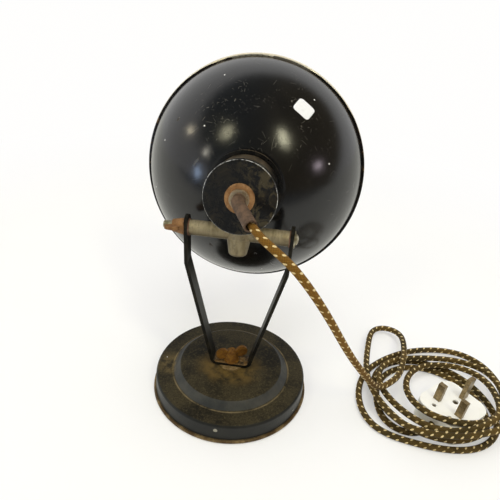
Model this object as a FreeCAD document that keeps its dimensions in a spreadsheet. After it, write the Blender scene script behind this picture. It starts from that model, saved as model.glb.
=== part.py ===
import FreeCAD, Part
import math
import os

import Sketcher

# A table reflector lamp.  A weighted, stepped round base carries a stud; a bent flat-bar yoke
# turns on the stud under a wing nut; between the arms of the yoke a cast tee bracket tilts on
# a long bolt, and carries the neck, the lampholder and a deep spun reflector.  A braided lead
# leaves the back of the neck through a sleeve and ends in a three-pin plug inside its coil.
#
# Frame: millimetres, Z up, origin on the table under the stud.  X runs along the tilt bolt,
# with its wing nut at -X, and the reflector faces +Y.

V = FreeCAD.Vector
X_AXIS = V(1, 0, 0)
Z_AXIS = V(0, 0, 1)

NEAR = 0.01  # two places this near each other are the same, mm
CORNERS_PER_FLATS = 2 / math.sqrt(3)
SLOPE_SHARE = 0.45  # of the gauge, by which a pressed sheet's inside draws in along a slope

doc = FreeCAD.newDocument("ReflectorLamp")
sheet = doc.addObject("Spreadsheet::Sheet", "Sizes")

SIZES = [
    # Base
    ("base_dia", 140.0, "over the rolled bead at the foot"),
    ("bead_wire", 3.2, "thickness of the rolled bead"),
    ("bead_lift", 0.4, "air under the bead"),
    ("wall_foot_dia", 135.8, "base wall where it meets the bead"),
    ("ledge_dia", 134.4, "base wall at the lower ledge"),
    ("ledge_height", 19.3, "top of the lower ledge"),
    ("ledge_edge_round", 2.6, "rounding of the ledge's outer edge"),
    ("step_foot_dia", 103.2, "raised centre where it leaves the ledge"),
    ("step_top_dia", 90.8, "raised centre at its top edge"),
    ("step_height", 25.7, "top of the raised centre"),
    ("step_round", 2.2, "rounding of the raised centre's two edges"),
    ("cover_gauge", 1.2, "sheet steel of the base cover"),
    ("felt_inset", 3.7, "felt pad inside the foot of the cover's wall"),
    ("felt_thick", 1.6, "felt pad"),
    ("plate_gap", 0.5, "closing plate inside the foot of the cover's wall"),
    ("plate_gauge", 1.0, "closing plate"),
    ("weight_gap", 4.0, "cast weight inside the wall at the ledge"),
    ("weight_boss_gap", 1.2, "cast weight inside the wall of the raised centre"),
    ("plate_screw_circle", 68.0, "pitch circle of the closing plate's screws"),
    ("plate_screw_dia", 3.5, "shank"),
    ("plate_screw_head", 6.2, "countersunk head"),
    ("plate_screw_length", 9.4, "from the plate's underside"),
    # Stud and its fittings
    ("stud_dia", 6.35, "quarter inch stud and tilt bolt"),
    ("stud_head_flats", 11.1, "hexagon head across flats"),
    ("stud_head_thick", 4.2, "hexagon head"),
    ("stud_reach", 9.6, "stud above the washer under its wing nut"),
    ("thread_tip", 0.8, "chamfer at a bolt's end"),
    ("bolt_clearance", 0.3, "radial gap round a bolt"),
    ("thread_clearance", 0.12, "radial gap in a wing nut's thread"),
    ("stud_washer_dia", 22.0, "plain washer under the yoke"),
    ("stud_washer_thick", 1.5, "plain washer under the yoke"),
    ("strap_washer_dia", 14.0, "washer under the base wing nut"),
    ("strap_washer_thick", 1.2, "washer under the base wing nut"),
    # Yoke
    ("strap_width", 12.7, "flat bar"),
    ("strap_thick", 2.7, "flat bar"),
    ("strap_foot", 34.4, "flat part between the lower bends, outside"),
    ("strap_bend_height", 130.0, "upper bends above the table"),
    ("strap_bend_round", 4.0, "inside radius of the bends"),
    ("strap_over_pivot", 9.6, "bar above the tilt bolt"),
    ("strap_end_round", 5.6, "rounded corners of the bar's ends"),
    ("arm_gap", 76.0, "between the inner faces of the arms"),
    ("pivot_height", 158.6, "tilt bolt above the table"),
    # Tilt bolt and its fittings
    ("fibre_washer_dia", 13.0, "friction washers beside the tee"),
    ("fibre_washer_thick", 0.8, "friction washers beside the tee"),
    ("bolt_washer_dia", 13.0, "steel washers outside the arms"),
    ("bolt_washer_thick", 1.0, "steel washers outside the arms"),
    ("bolt_head_dia", 8.2, "round head"),
    ("bolt_head_thick", 2.6, "round head"),
    ("bolt_head_rim", 1.0, "straight rim under the domed head"),
    ("bolt_slot_width", 1.1, "screwdriver slot"),
    ("bolt_slot_depth", 0.9, "screwdriver slot"),
    ("bolt_reach", 15.5, "bolt beyond the washer under its wing nut"),
    # Wing nuts
    ("nut_foot_dia", 12.6, "wing nut hub at its seat"),
    ("nut_top_dia", 9.2, "wing nut hub at its top"),
    ("nut_height", 8.6, "wing nut hub"),
    ("wing_span", 28.4, "over the two wings"),
    ("wing_round_dia", 10.8, "round end of a wing"),
    ("wing_thick", 2.4, "wing"),
    ("wing_centre_height", 7.2, "round end of a wing above the seat"),
    ("base_nut_angle", 23.0, "how the base wing nut stands, degrees"),
    ("pivot_nut_angle", 17.0, "how the tilt wing nut stands, degrees"),
    # Tee bracket
    ("tilt_angle", -11.5, "reflector's axis above the horizontal, degrees"),
    ("neck_lift", 29.6, "reflector's axis above the tilt bolt"),
    ("tee_tube_dia", 11.6, "cross tube"),
    ("tee_boss_dia", 18.2, "boss where it leaves the cross tube"),
    ("tee_boss_tip_dia", 13.4, "boss at its lower end"),
    ("tee_boss_straight", 4.0, "boss below the bolt before it tapers"),
    ("tee_boss_reach", 17.2, "boss below the bolt in all"),
    ("tee_boss_round", 2.4, "lower edge of the boss"),
    ("bracket_screw_dia", 3.0, "shank"),
    ("bracket_screw_head", 5.6, "pan head"),
    ("bracket_screw_head_thick", 2.0, "pan head"),
    ("bracket_screw_pitch", 11.6, "between the two screws"),
    ("bracket_screw_length", 12.0, "below the head"),
    # Neck and cap
    ("neck_dia", 50.4, "neck tube"),
    ("neck_gauge", 0.8, "neck tube and end cap"),
    ("neck_back", 18.0, "back of the end cap behind the tilt bolt"),
    ("neck_front", 15.0, "neck's seat in the reflector ahead of the tilt bolt"),
    ("neck_flange_dia", 57.6, "flange inside the reflector"),
    ("cap_lip", 6.0, "depth of the end cap"),
    ("cap_wall", 1.0, "flat end of the cap"),
    ("cap_edge_round", 1.2, "edge of the cap"),
    ("fit", 0.1, "radial gap between fixed pieces"),
    ("collar_dia", 56.6, "bead ring at the foot of the neck"),
    ("collar_length", 2.6, "bead ring at the foot of the neck"),
    # Reflector
    ("rim_dia", 185.0, "middle of the rolled edge"),
    ("rim_front", 84.0, "middle of the rolled edge ahead of the tilt bolt"),
    ("rim_wire", 4.2, "rolled edge"),
    ("seat_dia", 60.0, "flat seat round the neck"),
    ("dome_round", 94.5, "radius of the dome"),
    ("shade_gauge", 0.9, "sheet of the reflector"),
    # Cord entry
    ("nipple_dia", 10.0, "threaded tube through the cap"),
    ("nipple_bore", 7.2, "threaded tube"),
    ("flange_washer_dia", 21.0, "washer on the cap"),
    ("flange_washer_thick", 1.2, "washer on the cap"),
    ("gland_nut_dia", 14.0, "round nut on the cap"),
    ("gland_nut_thick", 3.2, "round nut on the cap"),
    ("lock_nut_dia", 15.0, "hexagon nut inside the cap, across corners"),
    ("lock_nut_thick", 3.0, "hexagon nut inside the cap"),
    ("sleeve_dia", 9.2, "cord sleeve"),
    ("sleeve_bore", 6.8, "cord sleeve"),
    ("sleeve_start", 3.0, "straight start of the sleeve"),
    ("sleeve_bend_round", 14.0, "centre line of the sleeve's bend"),
    ("sleeve_bend_angle", 34.0, "turn of the sleeve, degrees"),
    ("sleeve_end", 22.0, "straight end of the sleeve"),
    ("sleeve_side_angle", 54.0, "way the sleeve leans, degrees from straight down"),
    ("sleeve_socket", 8.0, "open depth of the sleeve's mouth"),
    # Lampholder and bulb
    ("holder_dia", 27.0, "lampholder body"),
    ("holder_back", -14.0, "back of the lampholder ahead of the tilt bolt"),
    ("holder_front", 22.0, "front of the lampholder"),
    ("socket_dia", 22.6, "bayonet socket"),
    ("socket_floor", 8.0, "floor of the socket ahead of the tilt bolt"),
    ("holder_ring_dia", 31.0, "threaded ring round the lampholder"),
    ("holder_ring_back", 12.0, "threaded ring ahead of the tilt bolt"),
    ("holder_ring_length", 6.0, "threaded ring"),
    ("plunger_dia", 3.2, "spring contact"),
    ("plunger_pitch", 10.0, "between the contacts"),
    ("plunger_depth", 4.0, "contact below the socket's floor"),
    ("plunger_reach", 1.2, "contact above the socket's floor"),
    ("cap_dia", 22.0, "bulb's bayonet cap"),
    ("cap_length", 24.0, "bulb's bayonet cap"),
    ("cap_sheet", 0.5, "bulb's bayonet cap"),
    ("cap_pin_dia", 2.0, "bayonet pins"),
    ("cap_pin_span", 26.0, "over the bayonet pins"),
    ("cap_pin_place", 5.0, "bayonet pins ahead of the cap's end"),
    ("slot_width", 2.6, "bayonet slots"),
    ("globe_dia", 45.0, "bulb"),
    ("globe_centre", 58.0, "bulb's centre ahead of the tilt bolt"),
    ("glass_neck_dia", 20.4, "bulb's neck"),
    ("glass_wall", 0.8, "bulb"),
    # Lead
    ("cord_dia", 5.6, "braided lead"),
    ("coil_dia", 132.0, "coil"),
    ("coil_height", 14.0, "coil"),
    ("coil_centre_x", 186.0, "coil"),
    ("coil_centre_y", 14.0, "coil"),
    ("coil_hole_dia", 62.0, "open middle of the coil, where the plug lies"),
    ("loop_dia", 37.0, "stray loop beside the coil, on its centre line"),
    ("loop_centre_x", 150.0, "stray loop"),
    ("loop_centre_y", 82.0, "stray loop"),
    ("loop_lift", 0.4, "stray loop above the table"),
    ("cord_sunk", 3.0, "lead let into the coil at each end"),
    # Plug
    ("plug_x", 193.0, "middle between the plug's two flat pins"),
    ("plug_y", -12.5, "middle between the plug's two flat pins"),
    ("plug_angle", -48.2, "turn of the plug, degrees"),
    ("plug_width", 46.0, "plug"),
    ("plug_length", 47.0, "plug"),
    ("plug_behind_pins", 16.5, "plug's cord end behind the flat pins"),
    ("plug_corner", 11.0, "corners of the plug"),
    ("plug_cover_height", 13.0, "cover, lying on the table"),
    ("plug_wall", 2.4, "cover"),
    ("plug_base_thick", 7.0, "block that holds the pins"),
    ("pin_pitch", 22.2, "between the flat pins, and from them to the earth pin"),
    ("pin_thick", 4.0, "pins"),
    ("pin_width", 6.35, "flat pins"),
    ("pin_length", 17.7, "flat pins"),
    ("earth_pin_width", 7.9, "earth pin"),
    ("earth_pin_length", 22.7, "earth pin"),
    ("terminal_size", 5.0, "screw terminals under the block"),
    ("terminal_height", 6.0, "screw terminals under the block"),
    ("cord_entry_height", 8.0, "lead's centre where it enters the plug"),
    ("plug_screw_dia", 5.0, "fixing screw's head"),
    ("plug_screw_place", 11.0, "fixing screw ahead of the flat pins"),
    ("plug_screw_depth", 3.4, "floor of the screw wells below the face"),
    ("plug_screw_reach", 7.0, "screws below the block"),
    ("grip_screw_dia", 3.6, "cord grip screws' heads"),
    ("grip_screw_pitch", 16.0, "between the cord grip screws"),
    ("grip_screw_place", -8.5, "cord grip screws ahead of the flat pins"),
    ("fuse_dia", 6.3, "cartridge fuse"),
    ("fuse_length", 25.4, "cartridge fuse"),
    ("fuse_end", 5.6, "end caps of the fuse"),
]


class Size:
    """A length as it is now, with the sheet expression that keeps it current."""

    def __init__(self, value, text):
        self.value = float(value)
        self.text = text

    def __add__(self, other):
        other = as_size(other)
        return Size(self.value + other.value, f"({self.text} + {other.text})")

    def __radd__(self, other):
        return as_size(other) + self

    def __sub__(self, other):
        other = as_size(other)
        return Size(self.value - other.value, f"({self.text} - {other.text})")

    def __rsub__(self, other):
        return as_size(other) - self

    def __mul__(self, other):
        other = as_size(other)
        return Size(self.value * other.value, f"({self.text} * {other.text})")

    def __rmul__(self, other):
        return as_size(other) * self

    def __truediv__(self, other):
        other = as_size(other)
        return Size(self.value / other.value, f"({self.text} / {other.text})")

    def __neg__(self):
        return as_size(0) - self


def as_size(number):
    return number if isinstance(number, Size) else Size(number, repr(float(number)))


def root(size):
    return Size(math.sqrt(size.value), f"sqrt({size.text})")


def value(number):
    return as_size(number).value


class S:
    """The sheet's cells by name."""


for row, (name, number, note) in enumerate(SIZES, start=1):
    sheet.set(f"A{row}", name)
    sheet.set(f"B{row}", str(number))
    sheet.set(f"C{row}", note)
    sheet.setAlias(f"B{row}", name)
doc.recompute()
for name, number, note in SIZES:
    setattr(S, name, Size(sheet.get(name), f"Sizes.{name}"))


# ---------------------------------------------------------------- helpers

DIRECTIONS = {
    "X": V(1, 0, 0),
    "-X": V(-1, 0, 0),
    "Y": V(0, 1, 0),
    "-Y": V(0, -1, 0),
    "Z": V(0, 0, 1),
    "-Z": V(0, 0, -1),
}


def bind(thing, name, size):
    thing.setExpression(name, as_size(size).text)


def locate(thing, at, along="Z"):
    """Stands a thing at a point with its own Z along one of the frame's axes."""
    point = V(*[value(part) for part in at])
    thing.Placement = FreeCAD.Placement(point, FreeCAD.Rotation(Z_AXIS, DIRECTIONS[along]))
    for axis, part in zip("xyz", at):
        if isinstance(part, Size):
            bind(thing, f"Placement.Base.{axis}", part)
    return thing


def cylinder(name, dia, length, at=(0, 0, 0), along="Z"):
    rod = doc.addObject("Part::Cylinder", name)
    bind(rod, "Radius", dia / 2)
    bind(rod, "Height", length)
    return locate(rod, at, along)


def cone(name, dia, tip_dia, length, at=(0, 0, 0), along="Z"):
    taper = doc.addObject("Part::Cone", name)
    bind(taper, "Radius1", dia / 2)
    bind(taper, "Radius2", tip_dia / 2)
    bind(taper, "Height", length)
    return locate(taper, at, along)


def hexagon(name, corners_dia, thick, at=(0, 0, 0), along="Z"):
    prism = doc.addObject("Part::Prism", name)
    prism.Polygon = 6
    bind(prism, "Circumradius", corners_dia / 2)
    bind(prism, "Height", thick)
    return locate(prism, at, along)


def torus(name, dia, wire, at=(0, 0, 0), along="Z"):
    ring = doc.addObject("Part::Torus", name)
    bind(ring, "Radius1", dia / 2)
    bind(ring, "Radius2", wire / 2)
    return locate(ring, at, along)


def centred_box(name, size_x, size_y, size_z, at):
    """A box centred on a point in X and Y that stands on it in Z."""
    block = doc.addObject("Part::Box", name)
    bind(block, "Length", size_x)
    bind(block, "Width", size_y)
    bind(block, "Height", size_z)
    corner = (at[0] - as_size(size_x) / 2, at[1] - as_size(size_y) / 2, as_size(at[2]))
    return locate(block, corner)


def fuse(name, *parts):
    whole = doc.addObject("Part::MultiFuse", name)
    whole.Shapes = list(parts)
    return whole


def cut(name, base, *tools):
    whole = doc.addObject("Part::Cut", name)
    whole.Base = base
    whole.Tool = tools[0] if len(tools) == 1 else fuse(f"{name}_tools", *tools)
    return whole


def framed(name, thing):
    """Wraps a located primitive, so that the wrapper can take a placement of its own."""
    wrapper = doc.addObject("Part::Compound", name)
    wrapper.Links = [thing]
    return wrapper


def tube(name, dia, bore, length, at=(0, 0, 0), along="Z"):
    """A plain ring or tube; its bore runs through both faces."""
    outer = cylinder(f"{name}_outer", dia, length, at, along)
    inner = cylinder(f"{name}_inner", bore, length, at, along)
    return cut(name, outer, inner)


def origin_plane(body, role):
    return [f for f in body.Origin.OriginFeatures if f.Role == role][0]


def arc_between(start, end, radius):
    """The short arc between two points; a positive radius curves to the left."""
    chord = end - start
    middle = (start + end) * 0.5
    left = V(-chord.y, chord.x, 0).normalize()
    reach = math.sqrt(max(radius * radius - chord.Length ** 2 / 4, 0.0))
    centre = middle + left * math.copysign(reach, radius)
    first, last = (start, end) if radius > 0 else (end, start)
    circle = Part.Circle(centre, Z_AXIS, abs(radius))
    from_angle = math.atan2(first.y - centre.y, first.x - centre.x)
    to_angle = math.atan2(last.y - centre.y, last.x - centre.x)
    return Part.ArcOfCircle(circle, from_angle, to_angle)


def pin_point(sketch, geometry, end, axis, coordinate, name):
    """Holds one coordinate of a sketch point at a size from the sheet."""
    if abs(value(coordinate)) < 1e-9:
        other_axis = -2 if axis == "X" else -1
        sketch.addConstraint(Sketcher.Constraint("PointOnObject", geometry, end, other_axis))
        return
    kind = f"Distance{axis}"
    index = sketch.addConstraint(
        Sketcher.Constraint(kind, -1, 1, geometry, end, value(coordinate))
    )
    sketch.renameConstraint(index, name)
    bind(sketch, f"Constraints.{name}", coordinate)


def outline_sketch(body, name, plane, corners, lift=None):
    """A closed sketch through corners (across, along) or (across, along, radius), where a
    radius makes the edge to the next corner an arc, to the left if it is positive."""
    sketch = body.newObject("Sketcher::SketchObject", name)
    sketch.AttachmentSupport = [(origin_plane(body, plane), "")]
    sketch.MapMode = "FlatFace"
    if lift is not None:
        bind(sketch, "AttachmentOffset.Base.z", lift)
    count = len(corners)
    points = [V(value(corner[0]), value(corner[1]), 0) for corner in corners]
    ends = []
    for index, corner in enumerate(corners):
        start = points[index]
        end = points[(index + 1) % count]
        if len(corner) == 3:
            sketch.addGeometry(arc_between(start, end, value(corner[2])), False)
            ends.append((1, 2) if value(corner[2]) > 0 else (2, 1))
        else:
            sketch.addGeometry(Part.LineSegment(start, end), False)
            ends.append((1, 2))
    for index in range(count):
        following = (index + 1) % count
        sketch.addConstraint(
            Sketcher.Constraint("Coincident", index, ends[index][1], following, ends[following][0])
        )
    for index, corner in enumerate(corners):
        pin_point(sketch, index, ends[index][0], "X", corner[0], f"across{index}")
        pin_point(sketch, index, ends[index][0], "Y", corner[1], f"along{index}")
        if len(corner) == 3:
            size = corner[2] if value(corner[2]) > 0 else -corner[2]
            held = sketch.addConstraint(Sketcher.Constraint("Radius", index, value(size)))
            sketch.renameConstraint(held, f"round{index}")
            bind(sketch, f"Constraints.round{index}", size)
    return sketch


def new_body(name):
    return doc.addObject("PartDesign::Body", name)


def spun(name, plane, corners, axis="V_Axis", lift=None):
    """A turned or spun piece: an outline taken once round an axis of its sketch."""
    body = new_body(name)
    sketch = outline_sketch(body, f"{name}_outline", plane, corners, lift)
    turned = body.newObject("PartDesign::Revolution", f"{name}_turned")
    turned.Profile = sketch
    turned.ReferenceAxis = (sketch, [axis])
    turned.Angle = 360.0
    body.Tip = turned
    return body


def rounded(body, name, radius, chosen):
    """Rounds the edges of a body that a test picks out."""
    doc.recompute()
    base = body.Tip
    names = [f"Edge{i}" for i, edge in enumerate(base.Shape.Edges, start=1) if chosen(edge)]
    if not names:
        raise RuntimeError(f"{name}: no edge to round")
    feature = body.newObject("PartDesign::Fillet", name)
    feature.Base = (base, names)
    bind(feature, "Radius", radius)
    body.Tip = feature
    return feature


def circle_edge(dia, level):
    """Picks the edges that are circles of a diameter at a height."""

    def chosen(edge):
        curve = edge.Curve
        if not isinstance(curve, Part.Circle):
            return False
        near_size = abs(curve.Radius - value(dia) / 2) < NEAR
        return near_size and abs(curve.Center.z - value(level)) < NEAR

    return chosen


NODES = []


def node(name, thing, place=None):
    """Names a finished piece and keeps it for writing."""
    thing.Label = name
    if place is not None:
        place(thing)
    NODES.append(thing)
    return thing


def on_pivot(thing):
    """Carries a piece drawn about the tilt bolt's middle up to the bolt."""
    thing.Placement = FreeCAD.Placement(V(0, 0, value(S.pivot_height)), FreeCAD.Rotation())
    bind(thing, "Placement.Base.z", S.pivot_height)


def in_head(thing):
    """Carries a piece drawn in the head's own axes to the tilt bolt, and tilts it."""
    turn = FreeCAD.Rotation(X_AXIS, value(S.tilt_angle))
    thing.Placement = FreeCAD.Placement(V(0, 0, value(S.pivot_height)), turn)
    bind(thing, "Placement.Base.z", S.pivot_height)
    bind(thing, "Placement.Rotation.Angle", S.tilt_angle)


def in_plug(thing):
    """Carries a piece drawn about the middle of the flat pins to the plug."""
    turn = FreeCAD.Rotation(Z_AXIS, value(S.plug_angle))
    thing.Placement = FreeCAD.Placement(V(value(S.plug_x), value(S.plug_y), 0), turn)
    bind(thing, "Placement.Base.x", S.plug_x)
    bind(thing, "Placement.Base.y", S.plug_y)
    bind(thing, "Placement.Rotation.Angle", S.plug_angle)


# ---------------------------------------------------------------- levels

foot_inside_dia = S.wall_foot_dia - 2 * S.cover_gauge
felt_dia = foot_inside_dia - 2 * S.felt_inset
plate_dia = foot_inside_dia - 2 * S.plate_gap
weight_dia = S.ledge_dia - 2 * (S.cover_gauge + S.weight_gap)
weight_boss_dia = S.step_top_dia - 2 * (S.cover_gauge + S.weight_boss_gap)
plate_bottom = S.felt_thick
plate_top = plate_bottom + S.plate_gauge
ledge_inside = S.ledge_height - S.cover_gauge
step_inside = S.step_height - S.cover_gauge
strap_bottom = S.step_height + S.stud_washer_thick
strap_top = strap_bottom + S.strap_thick
base_nut_seat = strap_top + S.strap_washer_thick
stud_hole = S.stud_dia + 2 * S.bolt_clearance
arm_inner = S.arm_gap / 2
arm_outer = arm_inner + S.strap_thick
bolt_seat = arm_outer + S.bolt_washer_thick
tee_half = arm_inner - S.fibre_washer_thick
neck_bottom = S.neck_lift - S.neck_dia / 2
cap_back = -S.neck_back
cap_inside = cap_back + S.cap_wall
gland_seat = cap_back - S.flange_washer_thick
sleeve_root = gland_seat - S.gland_nut_thick


# ---------------------------------------------------------------- base

def base_cover():
    """A pressed cover: wall, ledge and raised centre in one sheet, its foot rolled to a bead."""
    gauge = S.cover_gauge
    foot = S.bead_lift + S.bead_wire / 2
    edge = S.ledge_edge_round
    slope = gauge * SLOPE_SHARE
    body = spun(
        "cover_sheet",
        "XZ_Plane",
        [
            (S.wall_foot_dia / 2, foot),
            (S.ledge_dia / 2, S.ledge_height - edge, edge),
            (S.ledge_dia / 2 - edge, S.ledge_height),
            (S.step_foot_dia / 2, S.ledge_height),
            (S.step_top_dia / 2, S.step_height),
            (stud_hole / 2, S.step_height),
            (stud_hole / 2, step_inside),
            (S.step_top_dia / 2 - slope, step_inside),
            (S.step_foot_dia / 2 - slope, ledge_inside),
            (S.ledge_dia / 2 - edge, ledge_inside, -(edge - gauge)),
            (S.ledge_dia / 2 - gauge, S.ledge_height - edge),
            (S.wall_foot_dia / 2 - gauge, foot),
        ],
    )
    at_foot = circle_edge(S.step_foot_dia, S.ledge_height)
    at_top = circle_edge(S.step_top_dia, S.step_height)
    rounded(body, "cover_steps", S.step_round, lambda edge: at_foot(edge) or at_top(edge))
    bead = torus("cover_bead", S.base_dia - S.bead_wire, S.bead_wire, (0, 0, foot))
    return fuse("cover", body, bead)


def around_circle(circle_dia, count):
    """Points evenly round a pitch circle."""
    points = []
    for step in range(count):
        angle = math.radians(90 + 360 * step / count)
        points.append((circle_dia / 2 * math.cos(angle), circle_dia / 2 * math.sin(angle)))
    return points


PLATE_SCREWS = 3


def base_weight():
    disc = cylinder("weight_disc", weight_dia, ledge_inside - plate_top, (0, 0, plate_top))
    boss = cylinder("weight_boss", weight_boss_dia, step_inside - plate_top, (0, 0, plate_top))
    bore = cylinder("weight_bore", stud_hole, step_inside, (0, 0, 0))
    recess_dia = S.stud_head_flats * CORNERS_PER_FLATS + 4 * S.bolt_clearance
    recess_depth = S.stud_head_thick + 2 * S.bolt_clearance
    recess = cylinder("weight_recess", recess_dia, recess_depth, (0, 0, plate_top))
    holes = []
    for index, (x, y) in enumerate(around_circle(S.plate_screw_circle, PLATE_SCREWS)):
        hole_dia = S.plate_screw_dia + 2 * S.fit
        deep = S.plate_screw_length
        holes.append(cylinder(f"weight_hole{index}", hole_dia, deep, (x, y, plate_top)))
    return cut("weight", fuse("weight_blank", disc, boss), bore, recess, *holes)


def base_plate():
    disc = cylinder("plate_disc", plate_dia, S.plate_gauge, (0, 0, plate_bottom))
    holes = []
    for index, (x, y) in enumerate(around_circle(S.plate_screw_circle, PLATE_SCREWS)):
        head_dia = S.plate_screw_head + 2 * S.fit
        shank_dia = S.plate_screw_dia + 2 * S.fit
        place = (x, y, plate_bottom)
        holes.append(cone(f"plate_hole{index}", head_dia, shank_dia, S.plate_gauge, place))
    return cut("plate", disc, *holes)


def plate_screw(index, x, y):
    place = (x, y, plate_bottom)
    head = cone(f"screw_head{index}", S.plate_screw_head, S.plate_screw_dia, S.plate_gauge, place)
    length = S.plate_screw_length - S.plate_gauge
    shank = cylinder(f"screw_shank{index}", S.plate_screw_dia, length, (x, y, plate_top))
    return fuse(f"screw{index}", head, shank)


def base_stud():
    """A hexagon bolt from under the weight, with its head held in the weight's recess."""
    head_top = plate_top + S.stud_head_thick + 2 * S.bolt_clearance
    corners = S.stud_head_flats * CORNERS_PER_FLATS
    head = hexagon("stud_head", corners, S.stud_head_thick, (0, 0, head_top - S.stud_head_thick))
    tip = base_nut_seat + S.stud_reach
    shank_length = tip - S.thread_tip - head_top
    shank = cylinder("stud_shank", S.stud_dia, shank_length, (0, 0, head_top))
    tip_dia = S.stud_dia - 2 * S.thread_tip
    end = cone("stud_end", S.stud_dia, tip_dia, S.thread_tip, (0, 0, tip - S.thread_tip))
    return fuse("stud", head, shank, end)


def make_base():
    node("base_cover", base_cover())
    node("base_weight", base_weight())
    node("base_plate", base_plate())
    for index, (x, y) in enumerate(around_circle(S.plate_screw_circle, PLATE_SCREWS)):
        node(f"plate_screw_{index + 1}", plate_screw(index, x, y))
    node("base_felt", cylinder("felt", felt_dia, S.felt_thick))
    node("base_stud", base_stud())
    washer = tube("washer_below", S.stud_washer_dia, stud_hole, S.stud_washer_thick,
                  (0, 0, S.step_height))
    node("stud_washer", washer)


# ---------------------------------------------------------------- yoke

def yoke_strap():
    """One flat bar bent four times: a foot on the stud, two sloping legs, two upright ends."""
    thick = S.strap_thick
    foot = S.strap_foot / 2
    bend = S.strap_bend_height
    top = S.pivot_height + S.strap_over_pivot
    across = arm_outer - foot
    rise = bend - strap_bottom
    slant = root(across * across + rise * rise)
    lower = thick * (slant - across) / rise
    upper = thick * (slant - rise) / across
    side = [
        (foot, strap_bottom),
        (arm_outer, bend),
        (arm_outer, top),
        (arm_inner, top),
        (arm_inner, bend + upper),
        (foot - lower, strap_top),
    ]
    mirrored = [(-x, z) for x, z in reversed(side)]
    body = new_body("strap")
    sketch = outline_sketch(body, "strap_outline", "XZ_Plane", side + mirrored)
    bar = body.newObject("PartDesign::Pad", "strap_bar")
    bar.Profile = sketch
    bar.SideType = "Symmetric"
    bind(bar, "Length", S.strap_width)
    body.Tip = bar

    def at_corner(corners):
        def chosen(edge):
            centre = edge.CenterOfMass
            lies_across = abs(edge.Vertexes[0].Y - edge.Vertexes[-1].Y) > value(S.strap_width) / 2
            return lies_across and any(
                abs(abs(centre.x) - value(x)) < NEAR and abs(centre.z - value(z)) < NEAR
                for x, z in corners
            )

        return chosen

    rounded(body, "bends_outside", S.strap_bend_round + thick, at_corner(side[0:2]))
    rounded(body, "bends_inside", S.strap_bend_round, at_corner(side[4:6]))

    def end_corner(edge):
        centre = edge.CenterOfMass
        on_top = abs(centre.z - value(top)) < NEAR
        on_side = abs(abs(centre.y) - value(S.strap_width) / 2) < NEAR
        return on_top and on_side

    rounded(body, "bar_ends", S.strap_end_round, end_corner)
    reach = 3 * arm_outer
    bolt_hole = cylinder("strap_bolt_hole", stud_hole, reach, (-reach / 2, 0, S.pivot_height), "X")
    base_hole = cylinder("strap_base_hole", stud_hole, 2 * thick, (0, 0, strap_bottom - thick / 2))
    return cut("strap_drilled", body, bolt_hole, base_hole)


def pivot_bolt():
    """A slotted round-head bolt through both arms and the tee, its thread at -X."""
    tip = -(bolt_seat + S.bolt_reach)
    crown = bolt_seat + S.bolt_head_thick
    rim = bolt_seat + S.bolt_head_rim
    rise = S.bolt_head_thick - S.bolt_head_rim
    half = S.bolt_head_dia / 2
    dome = (half * half + rise * rise) / (2 * rise)
    body = spun(
        "bolt_turned",
        "XY_Plane",
        [
            (tip, 0),
            (crown, 0, dome),
            (rim, half),
            (bolt_seat, half),
            (bolt_seat, S.stud_dia / 2),
            (tip + S.thread_tip, S.stud_dia / 2),
            (tip, S.stud_dia / 2 - S.thread_tip),
        ],
        axis="H_Axis",
    )
    slot = centred_box(
        "bolt_slot",
        2 * S.bolt_slot_depth,
        2 * S.bolt_head_dia,
        S.bolt_slot_width,
        (crown, 0, -S.bolt_slot_width / 2),
    )
    return cut("bolt", body, slot)


def wing_nut(name):
    """A wing nut on its seat at the origin, its axis along Z and its wings along X."""
    hub = cone(f"{name}_hub", S.nut_foot_dia, S.nut_top_dia, S.nut_height)
    reach = S.wing_span / 2 - S.wing_round_dia / 2
    wings = []
    for side, word in ((1, "right"), (-1, "left")):
        place = (side * reach, -S.wing_thick / 2, S.wing_centre_height)
        wings.append(
            cylinder(f"{name}_{word}", S.wing_round_dia, S.wing_thick, place, "Y")
        )
    web_height = S.wing_centre_height - S.wing_round_dia / 4
    web_foot = S.wing_round_dia / 4
    web = centred_box(f"{name}_web", 2 * reach, S.wing_thick, web_height, (0, 0, web_foot))
    bore_dia = S.stud_dia + 2 * S.thread_clearance
    bore = cylinder(f"{name}_bore", bore_dia, 2 * S.nut_height, (0, 0, -S.nut_height / 2))
    return cut(name, fuse(f"{name}_blank", hub, web, *wings), bore)


def stand_base_nut(nut):
    turn = FreeCAD.Rotation(Z_AXIS, value(S.base_nut_angle))
    nut.Placement = FreeCAD.Placement(V(0, 0, value(base_nut_seat)), turn)
    bind(nut, "Placement.Base.z", base_nut_seat)
    bind(nut, "Placement.Rotation.Angle", S.base_nut_angle)


def stand_pivot_nut(nut):
    """The nut's seat faces +X; its wings start level, along Y, and turn about the bolt."""
    level = FreeCAD.Rotation(V(0, -1, 0), V(0, 0, 1), V(-1, 0, 0), "ZXY")
    turn = FreeCAD.Rotation(X_AXIS, -value(S.pivot_nut_angle))
    place = V(-value(bolt_seat), 0, value(S.pivot_height))
    nut.Placement = FreeCAD.Placement(place, turn.multiply(level))
    bind(nut, "Placement.Base.x", -bolt_seat)
    bind(nut, "Placement.Base.z", S.pivot_height)


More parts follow.
